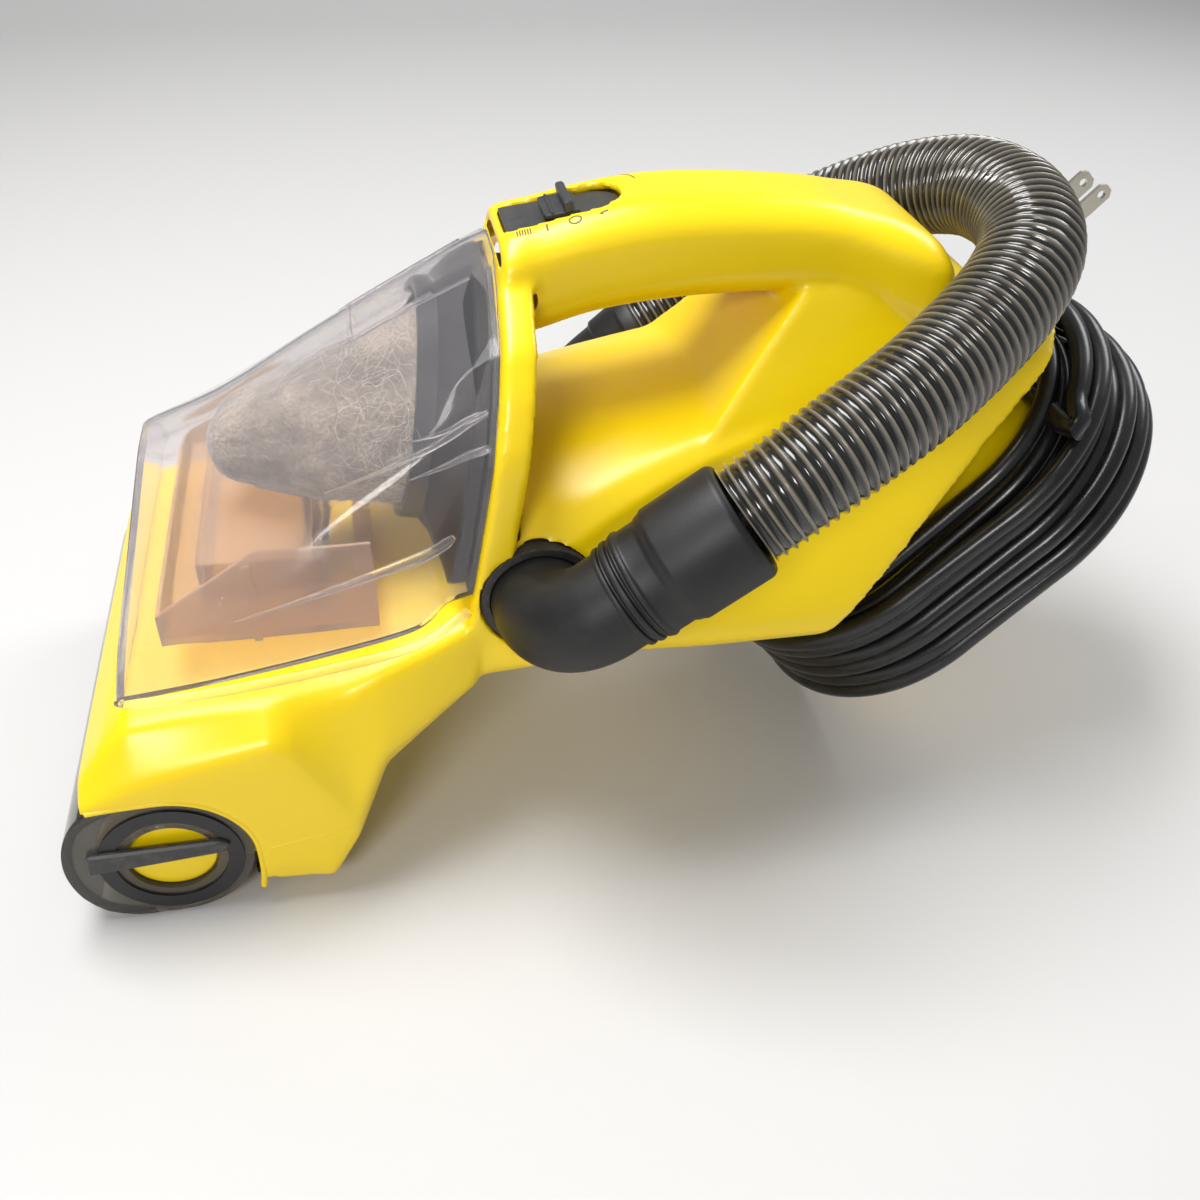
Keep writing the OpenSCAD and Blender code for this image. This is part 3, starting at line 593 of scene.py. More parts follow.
ARCH = [(50, 60), (60, 70), (60, 141), (52, 158), (43, 169), (22, 178.5), (8, 185.5)]
ARCH_LEAN = 0.175
sections = {
    "arch": [(125, ARCH_LEAN, ARCH), (135, ARCH_LEAN, ARCH)],
    "pod": [(130, 0.16, [(47, 57), (59, 67), (59.3, 100), (58.5, 106), (57, 111), (48, 120), (30, 127),
                         (8, 129)]),
            (150, 0.22, [(48, 60), (66, 74), (60, 102), (58, 107), (56.5, 112), (48, 121), (28, 129),
                         (7, 132)]),
            (165, 0.28, [(47, 61), (67, 75.5), (57, 104), (52, 113.5), (51, 119), (44, 127), (27, 133),
                         (7, 135)]),
            (180, 0.34, [(46, 62), (68, 77), (55, 105), (47, 121), (46.5, 127), (40, 133), (26, 136),
                         (7, 138)]),
            (195, 0.42, [(46, 61), (68, 76.5), (54, 105), (44, 127), (42, 134), (36, 138), (25, 140),
                         (7, 142)]),
            (208, 0.5, [(46, 60), (68, 76), (54, 105), (43, 128), (39, 138), (34, 142), (24, 144), (7, 146)]),
            (255.2, 0.95, [(44, 60), (67, 74), (54, 106), (44, 128), (41, 136), (37, 145), (34, 151),
                           (20, 158)])],
    "post": [(162, 0.85, [(46, 124), (31, 152), (22, 174)]), (190, 0.9, [(44, 126), (30, 156), (22, 173)]),
             (222, 0.95, [(42, 128), (29, 156), (18, 166)])],
    "hood": [(7, 0, [(81.5, 49), (82.3, 51.5), (74, 57)]), (15, 0, [(82.5, 30), (82.5, 54), (72, 67)]),
             (23, 0, [(82.5, 12), (82.5, 57), (70, 74.5)]), (40, 0, [(82.5, 6), (82.5, 62), (69, 76)]),
             (64, 0, [(82.5, 4), (82.5, 68.5), (69, 77.5)]), (69, 0, [(82.5, 4), (82.5, 64), (69, 78)]),
             (76, 0, [(82.5, 4), (82.5, 50), (69, 78.5)]), (85, 0, [(80, 22), (82, 32), (69, 79.5)]),
             (96, 0, [(70, 44), (75, 53), (67, 82)]), (126, 0, [(50, 56), (61, 66), (60, 89)])]}
HANDLE = [(141.8, 158.5, 188.5, 1.1), (146, 159, 190.5, 1.08), (153, 160, 192, 1.03), (168, 164, 195.5, 1),
          (186, 166.5, 198, 1), (208, 167.5, 198, 1),
          (236, 167, 195.5, 1.04), (250, 164, 192.5, 1.16), (262, 158, 189.5, 1.36),
          (270, 156, 186, 1.46), (275, 160, 181.5, 1.38), (278, 165, 177, 1.1)]
HANDLE_W = 42
WALL = 2.5


def handle_ring(x, low, high, wide, inset=0):
    """A section of the handle: a rounded oblong across X."""
    half, tall = HANDLE_W * wide / 2 - inset, (high - low) / 2 - inset
    edge = min(7.5, 0.45 * tall)
    corners = [(half - 7, -tall), (half, -tall + edge), (half, tall - edge), (half - 8, tall - 1)]
    corners += [(-y, z) for y, z in reversed(corners)]
    return [(x, y, (low + high) / 2 + z) for y, z in rounded_outline(corners, 4, 5)]


def form_mesh(name, shapes, voxel, smoothing):
    """One closed skin round several overlapping solids, with its inner corners blended like a moulding."""
    verts, faces = joined(*shapes)
    mesh = bpy.data.meshes.new(name)
    mesh.from_pydata([tuple(v) for v in verts], [], faces)
    form = bmesh.new()
    form.from_mesh(mesh)
    bmesh.ops.recalc_face_normals(form, faces=form.faces)
    form.to_mesh(mesh)
    form.free()
    made = bpy.data.objects.new(name, mesh)
    bpy.context.scene.collection.objects.link(made)
    remesh = made.modifiers.new("skin", "REMESH")
    remesh.mode = "VOXEL"
    remesh.voxel_size = voxel
    if smoothing:
        blend = made.modifiers.new("blend", "SMOOTH")
        blend.factor = 0.5
        blend.iterations = smoothing
    return applied(made)


def applied(made):
    """The object with its modifiers made final."""
    graph = bpy.context.evaluated_depsgraph_get()
    graph.update()
    final = bpy.data.meshes.new_from_object(made.evaluated_get(graph))
    made.modifiers.clear()
    made.data = final
    return made


def carved(made, cutters, operation="DIFFERENCE"):
    """The object cut by, or kept inside, each of the closed shapes."""
    helpers = []
    for shape in cutters:
        verts, faces = shape
        mesh = bpy.data.meshes.new("cutter")
        mesh.from_pydata([tuple(v) for v in verts], [], faces)
        form = bmesh.new()
        form.from_mesh(mesh)
        bmesh.ops.recalc_face_normals(form, faces=form.faces)
        bmesh.ops.triangulate(form, faces=[f for f in form.faces if len(f.verts) > 4])
        form.to_mesh(mesh)
        form.free()
        helper = bpy.data.objects.new("cutter", mesh)
        bpy.context.scene.collection.objects.link(helper)
        helpers.append(helper)
        cut = made.modifiers.new("cut", "BOOLEAN")
        cut.operation = operation
        cut.solver = "MANIFOLD"
        cut.object = helper
    made = applied(made)
    for helper in helpers:
        bpy.data.objects.remove(helper)
    return made


def rod(radius, start, along, length, sides=64):
    """A closed round bar in mm, from a start along a direction."""
    verts = [Vector((radius * math.cos(a), radius * math.sin(a), z)) * MM for z in (0, length)
             for a in np.linspace(0, 2 * math.pi, sides, endpoint=False)]
    faces = [(k, (k + 1) % sides, sides + (k + 1) % sides, sides + k) for k in range(sides)]
    faces += [tuple(reversed(range(sides))), tuple(range(sides, 2 * sides))]
    return placed(verts, at(*start), along, (1, 0, 0) if abs(along[1]) > 0.9 else (0, 1, 0)), faces


def block(low, high):
    """A closed box in mm between two corners."""
    corners = [at(x, y, z) for z in (low[2], high[2]) for x, y in
               ((low[0], low[1]), (high[0], low[1]), (high[0], high[1]), (low[0], high[1]))]
    return corners, [(3, 2, 1, 0), (4, 5, 6, 7), (0, 1, 5, 4), (1, 2, 6, 5), (2, 3, 7, 6), (3, 0, 4, 7)]


PER_EDGE = {"arch": 6, "pod": 6, "post": 8, "hood": 10}
outer, inner = [], []
for name, stations in sections.items():
    rings = between([ring_of(half, lean, x, PER_EDGE[name]) for x, lean, half in stations], 6,
                    bend=name != "hood")
    outer.append(lofted(rings))
    shift = {"arch": (2.6, 0.7), "pod": (0.3, -3.6), "post": (3.6, -3.6), "hood": (WALL, -1.0)}[name]
    shrunk = [[(p[0] + shift[0] + (shift[1] - shift[0]) * i / (len(rings) - 1), p[1], p[2])
               for p in offset_ring(ring, WALL)]
              for i, ring in enumerate(rings)]
    inner.append(lofted(shrunk))
handle_rings = between([handle_ring(*h) for h in HANDLE], 5)
outer.append(lofted(handle_rings))
inner.append(lofted(between([handle_ring(x - (WALL if x > 270 else 0), low, high, wide, WALL) for x, low,
                             high, wide in HANDLE], 5)))
shell_form = form_mesh("shell_form", outer, 1.2 * MM, 6)
hollow = form_mesh("hollow", inner, 1.8 * MM, 4)
BRUSH_MM = (28.5, 25)
CHAMBER_R = 32.7
SIDE_ARCH_R = 26
ARCH_WAY = Vector((math.sin(math.radians(100)), 0, math.cos(math.radians(100))))
SWITCH_MM = (161, 0, 190)
switch_tilt = math.radians(8)
switch_up = Vector((-math.sin(switch_tilt), 0, math.cos(switch_tilt)))
hollow_shape = ([v.co.copy() for v in hollow.data.vertices],
                [tuple(f.vertices) for f in hollow.data.polygons])
bpy.data.objects.remove(hollow)
port_funnel = lofted([[(146 + r * math.cos(a), y, 95 + r * math.sin(a))
                       for a in np.linspace(0, 2 * math.pi, 64, endpoint=False)]
                      for y, r in ((-40, 18), (-58, 18), (-61, 18.8), (-64, 21), (-68, 25), (-90, 27))])


def switch_outline(front, rear, half):
    """The switch's D shape: square in front and round behind."""
    arc = [(rear - half + half * math.cos(a), half * math.sin(a))
           for a in np.linspace(math.pi / 2, -math.pi / 2, 20)]
    return [*rounded_outline([(front, -half), (front, half)], 0, 1), *arc]


switch_slot_verts, switch_slot_faces = eased_plate(switch_outline(-17, 18.5, 9.5), -2.5, 30, 0.1)
shell_form = carved(shell_form, [
    hollow_shape,
    rod(CHAMBER_R, (BRUSH_MM[0], -80.6, BRUSH_MM[1]), (0, 1, 0), 161.2, 96),
    rod(SIDE_ARCH_R, (BRUSH_MM[0], -100, BRUSH_MM[1]), (0, 1, 0), 200, 96),
    block((-20, -100, -5), (54.4, 100, 25)),
    block((-20, -100, -5), (28.5, 100, 50)),
    port_funnel,
    rod(36, (102, 0, 135), ARCH_WAY, 40),
    block((50, -34, 76), (83, 34, 92)),
    (placed(switch_slot_verts, at(*SWITCH_MM), switch_up), switch_slot_faces)])
soften = shell_form.modifiers.new("soften", "REMESH")
soften.mode = "VOXEL"
soften.voxel_size = 1.15 * MM
ease = shell_form.modifiers.new("ease", "SMOOTH")
ease.factor = 0.5
ease.iterations = 3
shell_form = applied(shell_form)

yellow = finish("yellow_shell_finish", (0.93, 0.66, 0.0), 0.3, dust=0.1, patch=16, grain=0.000012,
                grain_scale=1800,
                dust_colour=(0.75, 0.5, 0.03, 1), Coat_Weight=0.15, Coat_Roughness=0.2)
GAP = 0.01


def shell_part(name, cutters, replaces):
    """One shell cut from the whole form by closed shapes that it is kept inside."""
    part = bpy.data.objects.new(name, shell_form.data.copy())
    bpy.context.scene.collection.objects.link(part)
    part = carved(part, cutters, "INTERSECT")
    sharpen(part.data, 40)
    part.data.materials.clear()
    part.data.materials.append(yellow)
    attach(part, "body")
    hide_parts(*replaces)
    return part


def leaned_block(x0, x1, y0, y1, z0=-20, z1=240):
    """A closed block whose front and rear lean like the arch."""
    verts = [at(x + ARCH_LEAN * (z - 90), y, z) for z in (z0, z1) for x,
             y in ((x0, y0), (x1, y0), (x1, y1), (x0, y1))]
    return verts, [(3, 2, 1, 0), (4, 5, 6, 7), (0, 1, 5, 4), (1, 2, 6, 5), (2, 3, 7, 6), (3, 0, 4, 7)]


ARCH_FRONT = 124.6
hood = shell_part("nozzle_hood", [leaned_block(-100, ARCH_FRONT - GAP, -120, 120)], ["nozzle_housing"])
left_shell = shell_part("shell_left", [leaned_block(ARCH_FRONT, 400, -120, -GAP)], ["body_left"])
right_shell = shell_part("shell_right", [leaned_block(ARCH_FRONT, 400, GAP, 120)], ["body_right"])
bpy.data.objects.remove(shell_form)


def laid(points, surface, look, lift):
    """Points in mm moved along a direction until they meet a piece's surface, and lifted off it."""
    found = []
    for x, y, z in points:
        start = at(x, y, z) - Vector(look) * 0.1
        hit, place, normal, _ = surface.ray_cast(start, Vector(look))
        found.append(place + normal * lift * MM if hit else at(x, y, z))
    return found


# a rolled lip round each side opening, and the fine line across each flank
lips = []
for side in (-1, 1):
    lip = [(BRUSH_MM[0] + 26.3 * math.cos(a), BRUSH_MM[1] + 26.3 * math.sin(a))
           for a in np.radians(np.linspace(0, 90, 40))]
    lip = [(53.6, 9), (54.6, 16), *lip, (18, 51.1), (9, 50.4)]
    lip = smooth_path([at(x, side * 81.4, z) for x, z in lip], 1.5 * MM)
    lips.append(swept(lip, [1.1 * MM] * len(lip), 12))
    line = laid([(x, side * 80, 26.3 + (x - 55.7) * 0.186) for x in np.linspace(57, 82, 24)], hood,
                (0, -side, 0), -0.1)
    lips.append(swept(line, [0.28 * MM] * len(line), 8))
lip_verts, lip_faces = joined(*lips)
piece("hood_lips", lip_verts, lip_faces, "body", "yellow_shell", yellow)

# ==================== Switch and its marks ====================
# A dark grey D-shaped insert sunk in the handle's top carries a slider with a raised cross rib. Plain marks
# for the brush, on and off are printed beside it, with a curved line round its rear end.
grey_plastic = finish("grey_plastic", (0.03, 0.031, 0.033), 0.38, dust=0.3, patch=90,
                      dust_colour=(0.2, 0.19, 0.17, 1))
insert_verts, insert_faces = eased_plate(switch_outline(-16.8, 18.3, 9.3), -1.2, 1.1, 0.3)
piece("switch_insert", placed(insert_verts, at(*SWITCH_MM), switch_up), insert_faces, "body", "grey_switch",
      grey_plastic,
      ["switch_plate"])
thumb = joined(slab((10.5, 15.6, 1.5), (0.2, 0, 2.1), 1.2), slab((2.6, 16.8, 3.6), (2.2, 0, 4.2), 0.8),
               slab((0.8, 15.4, 0.9), (-2.6, 0, 2.9), 0.2))
piece("switch_thumb", placed(thumb[0], at(*SWITCH_MM), switch_up), thumb[1], "switch", "grey_switch",
      grey_plastic,
      ["switch_slider"])
print_ink = finish("printed_marks", (0.12, 0.09, 0.03), 0.5, dust=0.2)


def ribbon(path, width):
    """A flat strip in mm along a path of (x, y)."""
    p = np.array(path, float)
    way = np.gradient(p, axis=0)
    way /= np.linalg.norm(way, axis=1)[:, None]
    side = np.stack([-way[:, 1], way[:, 0]], 1) * width / 2
    verts = [*(p + side), *(p - side)]
    n = len(p)
    return verts, [(i, i + 1, n + i + 1, n + i) for i in range(n - 1)]


strips = [ribbon([(147 + 0.75 * i, -12.0), (147 + 0.75 * i, -13.2), (147 + 0.75 * i, -14.4)], 0.4)
          for i in range(6)]
strips.append(ribbon([(155.5, -12.0), (155.5, -13.2), (155.5, -14.6)], 0.6))
strips.append(ribbon([(163.5 + 1.7 * math.cos(a), -13.3 + 1.3 * math.sin(a))
                      for a in np.linspace(0, 2 * math.pi, 25)], 0.5))
strips.append(ribbon([(171.5, -13.6), (170.5, -13.2), (171.4, -12.9), (173, -12.6)], 0.55))
strips.append(ribbon([(178 + 7 * math.cos(a), 3 + 11 * math.sin(a)) for a in np.linspace(0.3, 1.7, 24)], 0.4))
ink_verts, ink_faces = joined(*[([tuple(v) for v in verts], faces) for verts, faces in strips])
both_shells = {-1: left_shell, 1: right_shell}
ink_verts = [laid([(x, y, 230)], both_shells[1 if y > 0 else -1], (0, 0, -1), 0.06)[0] for x, y in ink_verts]
piece("switch_marks", ink_verts, ink_faces, "body", "grey_switch", print_ink)

# ==================== Cord wrap flange ====================
# The yellow flange that keeps the winding on its neck, an oval plate with a rounded rim.
FLANGE = (74, 44, 62, 4)


def oval_plate(half, half_w, t, thick, inner_half, inner_w, steps=96):
    """A ring plate on the wrap: oblong outside and inside, eased at its rim."""
    rings = []
    for inset, level in ((1.2, 0), (0.2, 0.9), (0, thick / 2), (0.2, thick - 0.9), (1.2, thick)):
        rings.append([on_wrap(*oblong(half_w - inset, half - half_w, k / steps), t + level)
                      for k in range(steps)])
    for level in (thick, 0):
        rings.append([on_wrap(*oblong(inner_w, inner_half - inner_w, k / steps), t + level)
                      for k in range(steps)])
    return [v for ring in rings for v in ring], bands(len(rings), steps, closed=True)


flange_verts, flange_faces = oval_plate(FLANGE[0], FLANGE[1], 60, FLANGE[3], 42, 25)
for v in flange_verts:
    v.z = max(v.z, 0.0002)
piece("flange", flange_verts, flange_faces, "body", "yellow_shell", yellow, ["wrap_flange"])
neck_wall_verts, neck_wall_faces = oval_plate(54, 37, 2, 58, 51.5, 34.5)
piece("wrap_neck", neck_wall_verts, neck_wall_faces, "body", "yellow_shell", yellow, ["cord_wrap"])

# ==================== Dust cup ====================
# A clear cup, 2 mm thick and hazed by use, over the hood. Tapered ribs stiffen its flanks, a thick lip seals
# it against the arch, and a window in the top of the lip takes the latch.
CUP = [(24.6, 0.2, [(68, 77), (68, 89), (63, 97), (41, 109), (22, 120), (8, 127)]),
       (28, 0.2, [(68.5, 77.5), (68.5, 92), (62, 101), (41, 112), (22, 122.5), (8, 129)]),
       (52, 0.12, [(68, 79), (68.5, 103), (61, 113.5), (42, 123), (24, 131), (8, 138)]),
       (82, 0.1, [(67, 82), (67.5, 118), (60, 131), (40, 141.5), (22, 150), (8, 156)]),
       (108, 0.14, [(65, 86), (64.5, 127), (56, 148.5), (42, 157.5), (24, 166), (8, 173)]),
       (117, 0.175, [(60, 90), (59.5, 138), (51, 155.5), (42, 164.5), (22, 174), (8, 180)]),
       (124.4, 0.175, [(59, 92), (59, 141), (51, 157), (42, 168), (22, 178), (8, 183)])]
clear = finish("clear_plastic", (0.87, 0.85, 0.865), 0.04, dust=0.16, patch=85, grain=0.000004,
               grain_scale=900,
               dust_colour=(0.8, 0.78, 0.75, 1), lets_light=(0.9, 0.9, 0.9), Transmission_Weight=0.955,
               IOR=1.25)
cup_rings = between([ring_of(half, lean, x, 8) for x, lean, half in CUP], 8)
cup_inside = [[(p[0], p[1], p[2]) for p in offset_ring(ring, 2.0)] for ring in cup_rings]
front_gap = 2.0
n = len(cup_rings[0])
outer_skin = lofted(cup_rings, capped=False)
inner_skin = lofted([[(p[0] + (front_gap if i == 0 else 0), p[1], p[2]) for p in ring] for i,
                     ring in enumerate(cup_inside)], capped=False)
cup_verts = outer_skin[0] + inner_skin[0]
shift = len(outer_skin[0])
cup_faces = outer_skin[1] + [tuple(reversed([i + shift for i in f])) for f in inner_skin[1]]
last = (len(cup_rings) - 1) * n
cup_faces += [tuple(reversed(range(n))), tuple(shift + k for k in range(n))]
cup_faces += [(last + k, last + (k + 1) % n, shift + last + (k + 1) % n, shift + last + k) for k in range(n)]
dust_cup = piece("dust_cup_shell", cup_verts, cup_faces, "cup", "clear_cup", clear, ["dust_cup"], angle=40)


RIBS_MM = [((59, 104.6), (121, 121), 3.4), ((87, 134.7), (133, 155), 2.4),
           ((110.5, 147.9), (131, 154.6), 2.0),
           ((109.6, 140.1), (133, 146.5), 2.6)]
rib_shapes = []
for side in (-1, 1):
    for (x0, z0), (x1, z1), width in RIBS_MM:
        steps = 30
        line = laid([(x0 + (x1 - x0) * t, side * 40, z0 + (z1 - z0) * t) for t in np.linspace(0, 1, steps)],
                    dust_cup,
                    (0, -side, 0), 0.1)
        radii = [width / 2 * MM * min(1, 0.12 + 1.1 * t) * (0.6 if t > 0.98 else 1)
                 for t in np.linspace(0, 1, steps)]
        rib_shapes.append(swept(line, radii, 12))
    rim = [at(x + ARCH_LEAN * (z - 90) if x > 110 else x, side * (y - 0.3), z + 0.6) for x, y, z in
           ((124, 59, 92), (108, 65, 86), (82, 67, 82), (52, 68, 79), (28, 68.3, 78), (23.6, 67.4, 78.4))]
    rim = smooth_path(rim, 2 * MM)
    rib_shapes.append(swept(rim, [1.5 * MM] * len(rim), 12))
    crown_line = laid([(95 + 38 * t, side * (11.3 + 3 * t), 230) for t in np.linspace(0, 1, 20)], dust_cup,
                      (0, 0, -1), 0.0)
    rib_shapes.append(swept(crown_line, [0.6 * MM] * 20, 8))
front_rim = [at(22.8, y, 78.4) for y in np.linspace(-67, 67, 40)]
rib_shapes.append(swept(front_rim, [1.4 * MM] * 40, 12))
# the latch's seat: a low frame on the cup's crown
for a, b in (((98, -12), (98, 12)), ((98, 12), (122, 12)), ((98, -12), (122, -12))):
    line = laid([(a[0] + (b[0] - a[0]) * t, a[1] + (b[1] - a[1]) * t, 230) for t in np.linspace(0, 1, 16)],
                dust_cup,
                (0, 0, -1), 0.0)
    rib_shapes.append(swept(line, [0.8 * MM] * 16, 8))
rib_verts, rib_faces = joined(*rib_shapes)
piece("cup_ribs", rib_verts, rib_faces, "cup", "clear_cup", clear, angle=60)

# ==================== Filter frame and felt filter ====================
# Inside the arch sits a black frame with oval windows, and on it a large cone of grey felt, matted with dust,
# that points at the nose. Pale fluff clings round its base.
black_plastic = finish("black_plastic_finish", (0.005, 0.005, 0.007), 0.3, dust=0.2, patch=60, grain=0.00002,
                       dust_colour=(0.08, 0.075, 0.07, 1))


def leaned_outline(x, inset):
    ring = ring_of([(59, 94), (59, 141), (51, 157), (42, 168), (22, 178), (8, 181)], ARCH_LEAN, x, 8)
    return offset_ring(ring, inset)


def filter_ring(x, radius):
    """Points of a round hole square to the filter's way, one for each point of the frame's outline."""
    centre = np.array([x, 0, 135 + (102 - x) * 0.176])
    points = []
    for p in leaned_outline(x, 3):
        a = math.atan2(p[2] - centre[2], p[1])
        points.append((centre[0] + radius * math.sin(a) * 0.176, radius * math.cos(a),
                       centre[2] + radius * math.sin(a)))
    return points


frame_rings = [leaned_outline(117.6, 3.6), leaned_outline(118.4, 3), leaned_outline(121.8, 3),
               leaned_outline(122.4, 3.6),
               filter_ring(122.4, 33.6), filter_ring(112, 33.4), filter_ring(112, 36.5),
               filter_ring(117.6, 37)]
frame_verts, frame_faces = lofted([*frame_rings, frame_rings[0]], capped=False)
piece("filter_carrier", frame_verts, frame_faces, "cup", "black_plastic", black_plastic, ["filter_frame"],
      angle=30)
felt = finish("grey_felt", (0.13, 0.11, 0.09), 0.95, dust=1.0, patch=55, grain=0.0005, grain_scale=900,
              dust_colour=(0.42, 0.35, 0.27, 1), Sheen_Weight=0.3, Sheen_Roughness=0.5)
TIP = np.array([66.0, 0, 122.0])
WAY = np.array([ARCH_WAY.x, 0, ARCH_WAY.z])
BASE = np.array([102.0, 0, 135.0]) + WAY * 21.5
cone_rings = []
NOSE_R, BASE_R = 15, 32.2
CONE_STEPS, CONE_SIDES = 70, 110
for i in range(CONE_STEPS + 1):
    share = i / CONE_STEPS
    # a round nose that grows to the base's radius, with its rings leaning more towards the base
    nose_back = NOSE_R * np.array([1, 0, 0])
    centre = TIP - nose_back + (BASE - TIP + nose_back) * (1 - math.cos(share * math.pi / 2)) ** 0.9
    reach = (centre - TIP)[0]
    if reach < -4:
        radius = math.sqrt(max(0.02, NOSE_R ** 2 - reach ** 2))
    else:
        radius = 14.5 + (BASE_R - 14.5) * min(1, (reach + 4) / (BASE[0] - TIP[0] + 2)) ** 0.85
    tilt = 0.176 * share
    ring = []
    for k in range(CONE_SIDES):
        a = 2 * math.pi * k / CONE_SIDES
        unit = Vector((centre[0] * 0.03, math.cos(a) * 1.6, math.sin(a) * 1.6))
        swell = 1 + 0.075 * noise.noise(unit * 1.1) + 0.03 * noise.noise(unit * 4)
        rough = 0.35 * noise.noise(Vector((centre[0] * 0.6, 9 * math.cos(a), 9 * math.sin(a))) * 1.6)
        r = min(32.4, radius * (swell if share < 0.93 else 1)) + rough
        ring.append((centre[0] + tilt * r * math.sin(a), r * math.cos(a), centre[2] + r * math.sin(a)))
    cone_rings.append(ring)
cone_verts, cone_faces = lofted(cone_rings)
piece("felt_filter", cone_verts, cone_faces, "cup", "filter_felt", felt, ["filter_cone"], angle=80)

rng = np.random.default_rng(7)
hairs = []
for _ in range(420):
    a = rng.uniform(0, 2 * math.pi)
    start = np.array([112 - abs(rng.normal()) * 9, 0, 0])
    reach = 15 + (start[0] - 66) * 0.44 + rng.uniform(-0.5, 1.2)
    spot = Vector((start[0], reach * math.cos(a), 124 + (start[0] - 66) * 0.2 + reach * math.sin(a)))
    way = Vector(rng.normal(size=3)).normalized()
    path = []
    for step in range(9):
        path.append(at(*spot))
        way = (way + 0.55 * Vector(rng.normal(size=3))).normalized()
        away = Vector((0, spot.y, spot.z - (124 + (spot.x - 66) * 0.2)))
        way = (way - away.normalized() * way.dot(away.normalized()) * 0.8).normalized()
        spot = spot + way * 1.5
        spot.x = min(115, spot.x)
        spot.z = min(spot.z, 143 + 0.55 * (spot.x - 64) - 0.45 * abs(spot.y))
    hairs.append(swept(path, [0.05 * MM] * 9, 3))
hair_verts, hair_faces = joined(*hairs)
fluff_finish = finish("pale_fluff", (0.5, 0.45, 0.38), 0.9, dust=0.2)
piece("dust_fluff", hair_verts, hair_faces, "cup", "filter_felt", fluff_finish)

# ==================== Riser visor and end caps ====================
# A smoked clear guard over the brush that swings up about the brush's axle. Yellow end caps hold the axle,
# and each end of the guard runs round its cap as a dark ring with a grip rib.
smoked = finish("smoked_plastic", (0.3, 0.28, 0.25), 0.08, dust=0.12, patch=70, grain=0.00001,
                dust_colour=(0.3, 0.28, 0.24, 1), lets_light=(0.35, 0.34, 0.32), Transmission_Weight=0.85,
                IOR=1.4)

VISOR_EDGE = {-90: 24, 0: 24.3, 90: 24, 115: 26, 140: 30.8, 150: 31.4, 205: 31.4, 222: 30.6, 240: 27.6,
              255: 24.8, 270: 24}
VISOR_OUT_Y = 79.9


def visor_edge(degrees, inset=0):
    """A point of the guard's end plate, in mm across its axis."""
    r = float(np.interp(degrees, list(VISOR_EDGE), list(VISOR_EDGE.values()))) - inset
    return r * math.cos(math.radians(degrees)), r * math.sin(math.radians(degrees))


def on_side(shape, side, y):
    """A shape drawn in mm on the end face's plane, its Z outwards, moved to one side of the brush's axis."""
    verts, faces = shape
    return [at(BRUSH_MM[0], side * y, BRUSH_MM[1]) + Vector((v.x, side * v.z, v.y)) for v in verts], faces


def annulus(outer_points, inner_points, low, high):
    """A flat ring in mm between two closed outlines with as many points."""
    rings = [(outer_points, low), (outer_points, high), (inner_points, high), (inner_points, low)]
    verts = [Vector((x, y, z)) * MM for points, z in rings for x, y in points]
    return verts, bands(len(rings), len(outer_points), closed=True)


turn_steps = np.linspace(-90, 270, 120, endpoint=False)
clear_parts, dark_parts, grip_parts = [], [], []
for side in (-1, 1):
    plate = annulus([visor_edge(a) for a in turn_steps],
                    [(13.6 * math.cos(math.radians(a)), 13.6 * math.sin(math.radians(a)))
                     for a in turn_steps], -2.2, 0)
    clear_parts.append(on_side(plate, side, VISOR_OUT_Y))
    ring = annulus([(21.4 * math.cos(math.radians(a)), 21.4 * math.sin(math.radians(a))) for a in turn_steps],
                   [(16.6 * math.cos(math.radians(a)), 16.6 * math.sin(math.radians(a)))
                    for a in turn_steps], -1.0, 0.7)
    dark_parts.append(on_side(ring, side, VISOR_OUT_Y))
    rim_line = [on_side(([Vector((*visor_edge(a, 1.5), -1.6)) * MM], []), side, VISOR_OUT_Y)[0][0]
                for a in np.linspace(122, 248, 60)]
    dark_parts.append(swept(rim_line, [1.5 * MM * min(1, 0.5 + 4 * min(t, 1 - t))
                                       for t in np.linspace(0, 1, 60)], 12))
    grip = eased_plate(rounded_outline([(-23.6, 7.1), (-24.6, -1.2), (15, 1.8), (18.4, 4.4), (15, 7.0)], 1.2,
                                       4), -0.2, 2.3, 0.7)
    grip_parts.append(on_side(grip, side, VISOR_OUT_Y))
bar_rings = []
for y in np.linspace(0.4 - VISOR_OUT_Y, VISOR_OUT_Y - 0.4, 60):
    outer_arc = [(31.5 * math.cos(a), 31.5 * math.sin(a)) for a in np.radians(np.linspace(137, 215, 26))]
    inner_arc = [(29.6 * math.cos(a), 29.6 * math.sin(a)) for a in np.radians(np.linspace(214.5, 137.5, 26))]
    bar_rings.append([(BRUSH_MM[0] + x, y, BRUSH_MM[1] + z) for x, z in outer_arc + inner_arc])
clear_parts.append(lofted(bar_rings))
visor_clear = joined(*clear_parts)
visor_dark = joined(*dark_parts)
piece("visor_guard", *visor_clear, "visor", "smoked_clear", smoked, ["riser_visor"])
piece("visor_rims", *visor_dark, "visor", "smoked_clear", black_plastic, angle=40)
dusty = finish("dusty_smoke", (0.03, 0.03, 0.032), 0.4, dust=0.75, patch=140,
               dust_colour=(0.2, 0.19, 0.17, 1))
piece("visor_grips", *joined(*grip_parts), "visor", "smoked_clear", dusty)

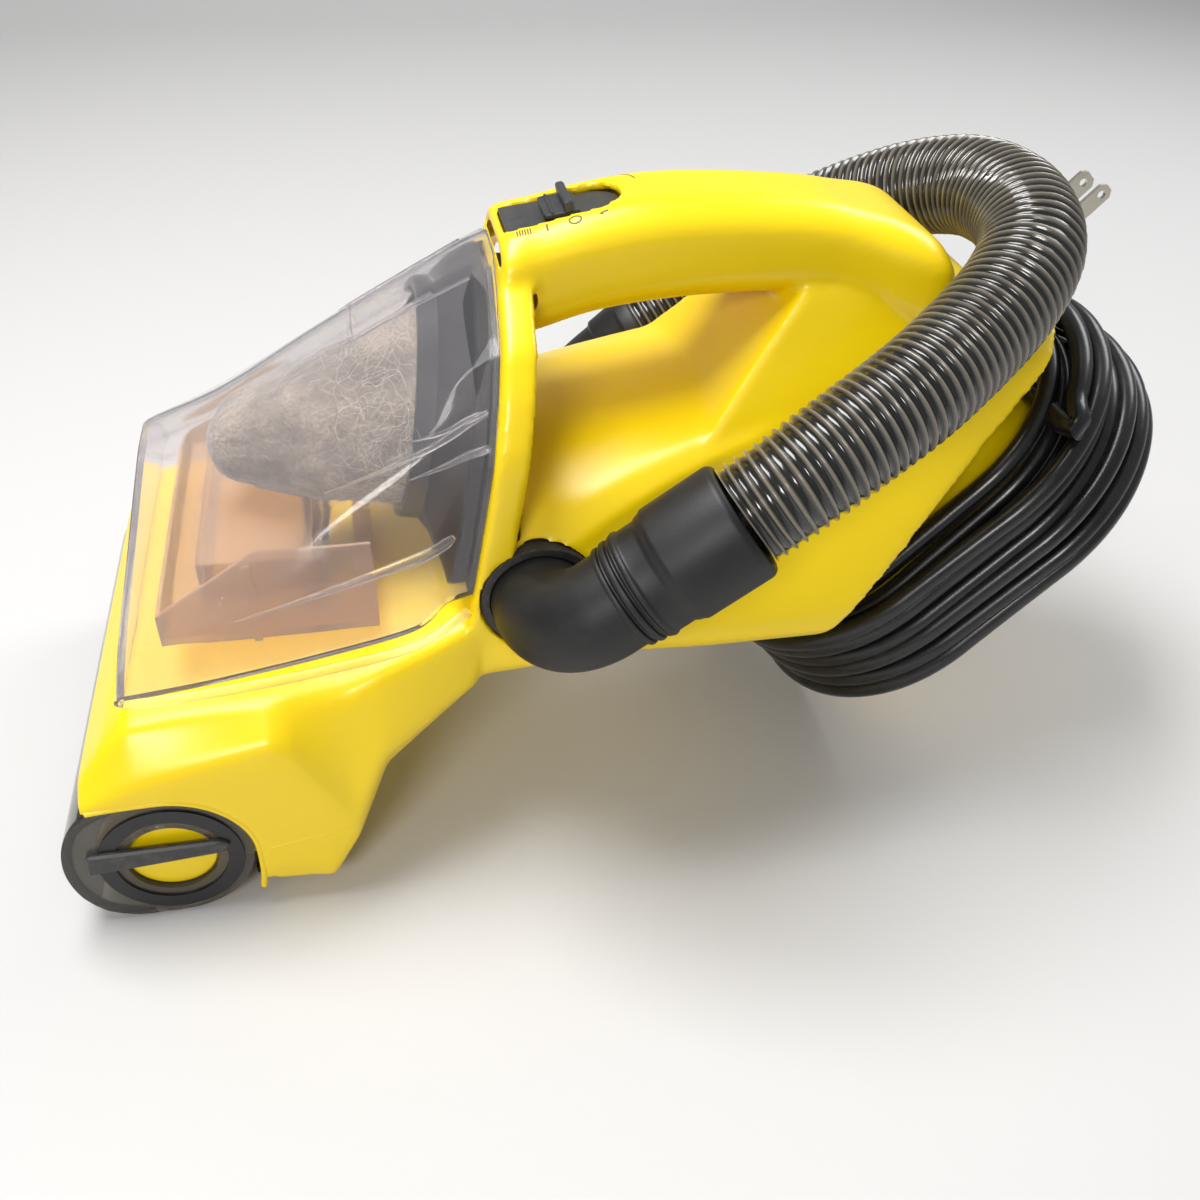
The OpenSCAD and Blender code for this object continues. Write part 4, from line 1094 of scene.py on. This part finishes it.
# ==================== Remaining CAD nodes ====================
# The mechanism inside, the switch, the seals and the screws keep their CAD shapes, with eased edges.
steel = finish("steel_finish", (0.55, 0.55, 0.56), 0.32, dust=0.2, patch=80, Metallic=1.0)
copper = finish("copper_finish", (0.72, 0.34, 0.18), 0.3, dust=0.2, patch=80, Metallic=1.0)
carbon = finish("carbon_finish", (0.02, 0.02, 0.02), 0.6, dust=0.2)
zinc = finish("zinc_finish", (0.45, 0.46, 0.48), 0.4, dust=0.2, patch=90, Metallic=1.0)
aluminium = finish("aluminium_finish", (0.7, 0.7, 0.7), 0.35, dust=0.1, Metallic=1.0)
rubber = finish("rubber_finish", (0.01, 0.01, 0.01), 0.6, dust=0.3)
bristle = finish("bristle_finish", (0.42, 0.38, 0.3), 0.6, dust=0.6, patch=200,
                 dust_colour=(0.2, 0.18, 0.15, 1))
brown_clear = finish("brown_clear_finish", (0.7, 0.54, 0.4), 0.15, dust=0.4, patch=60,
                     dust_colour=(0.5, 0.4, 0.32, 1),
                     lets_light=(0.85, 0.76, 0.68), Transmission_Weight=0.8, IOR=1.15)
cad_finishes = {
    "yellow_shell": yellow, "black_plastic": black_plastic, "grey_switch": grey_plastic, "steel": steel,
    "copper": copper,
    "carbon": carbon, "zinc": zinc, "black_rubber": rubber, "cord_rubber": cord_black, "nickel": nickel,
    "smoked_clear": smoked, "clear_cup": clear, "brown_clear": brown_clear, "filter_frame": black_plastic,
    "filter_felt": felt, "smoked_hose": hose_finish, "matte_cuff": matte_black, "bristle": bristle,
    "aluminium": aluminium}
for cad_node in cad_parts.values():
    if cad_node.hide_render:
        continue
    for slot_index, material in enumerate(cad_node.data.materials):
        chosen = next((f for key, f in cad_finishes.items()
                       if material and material.name.split(".")[0] == key), grey_plastic)
        cad_node.material_slots[slot_index].link = "OBJECT"
        cad_node.material_slots[slot_index].material = chosen
    weld = cad_node.modifiers.new("weld", "WELD")
    weld.merge_threshold = 0.00001
    ease = cad_node.modifiers.new("ease", "BEVEL")
    ease.width = 0.0003
    ease.segments = 2
    ease.limit_method = "ANGLE"
    ease.angle_limit = math.radians(40)
    ease.use_clamp_overlap = True
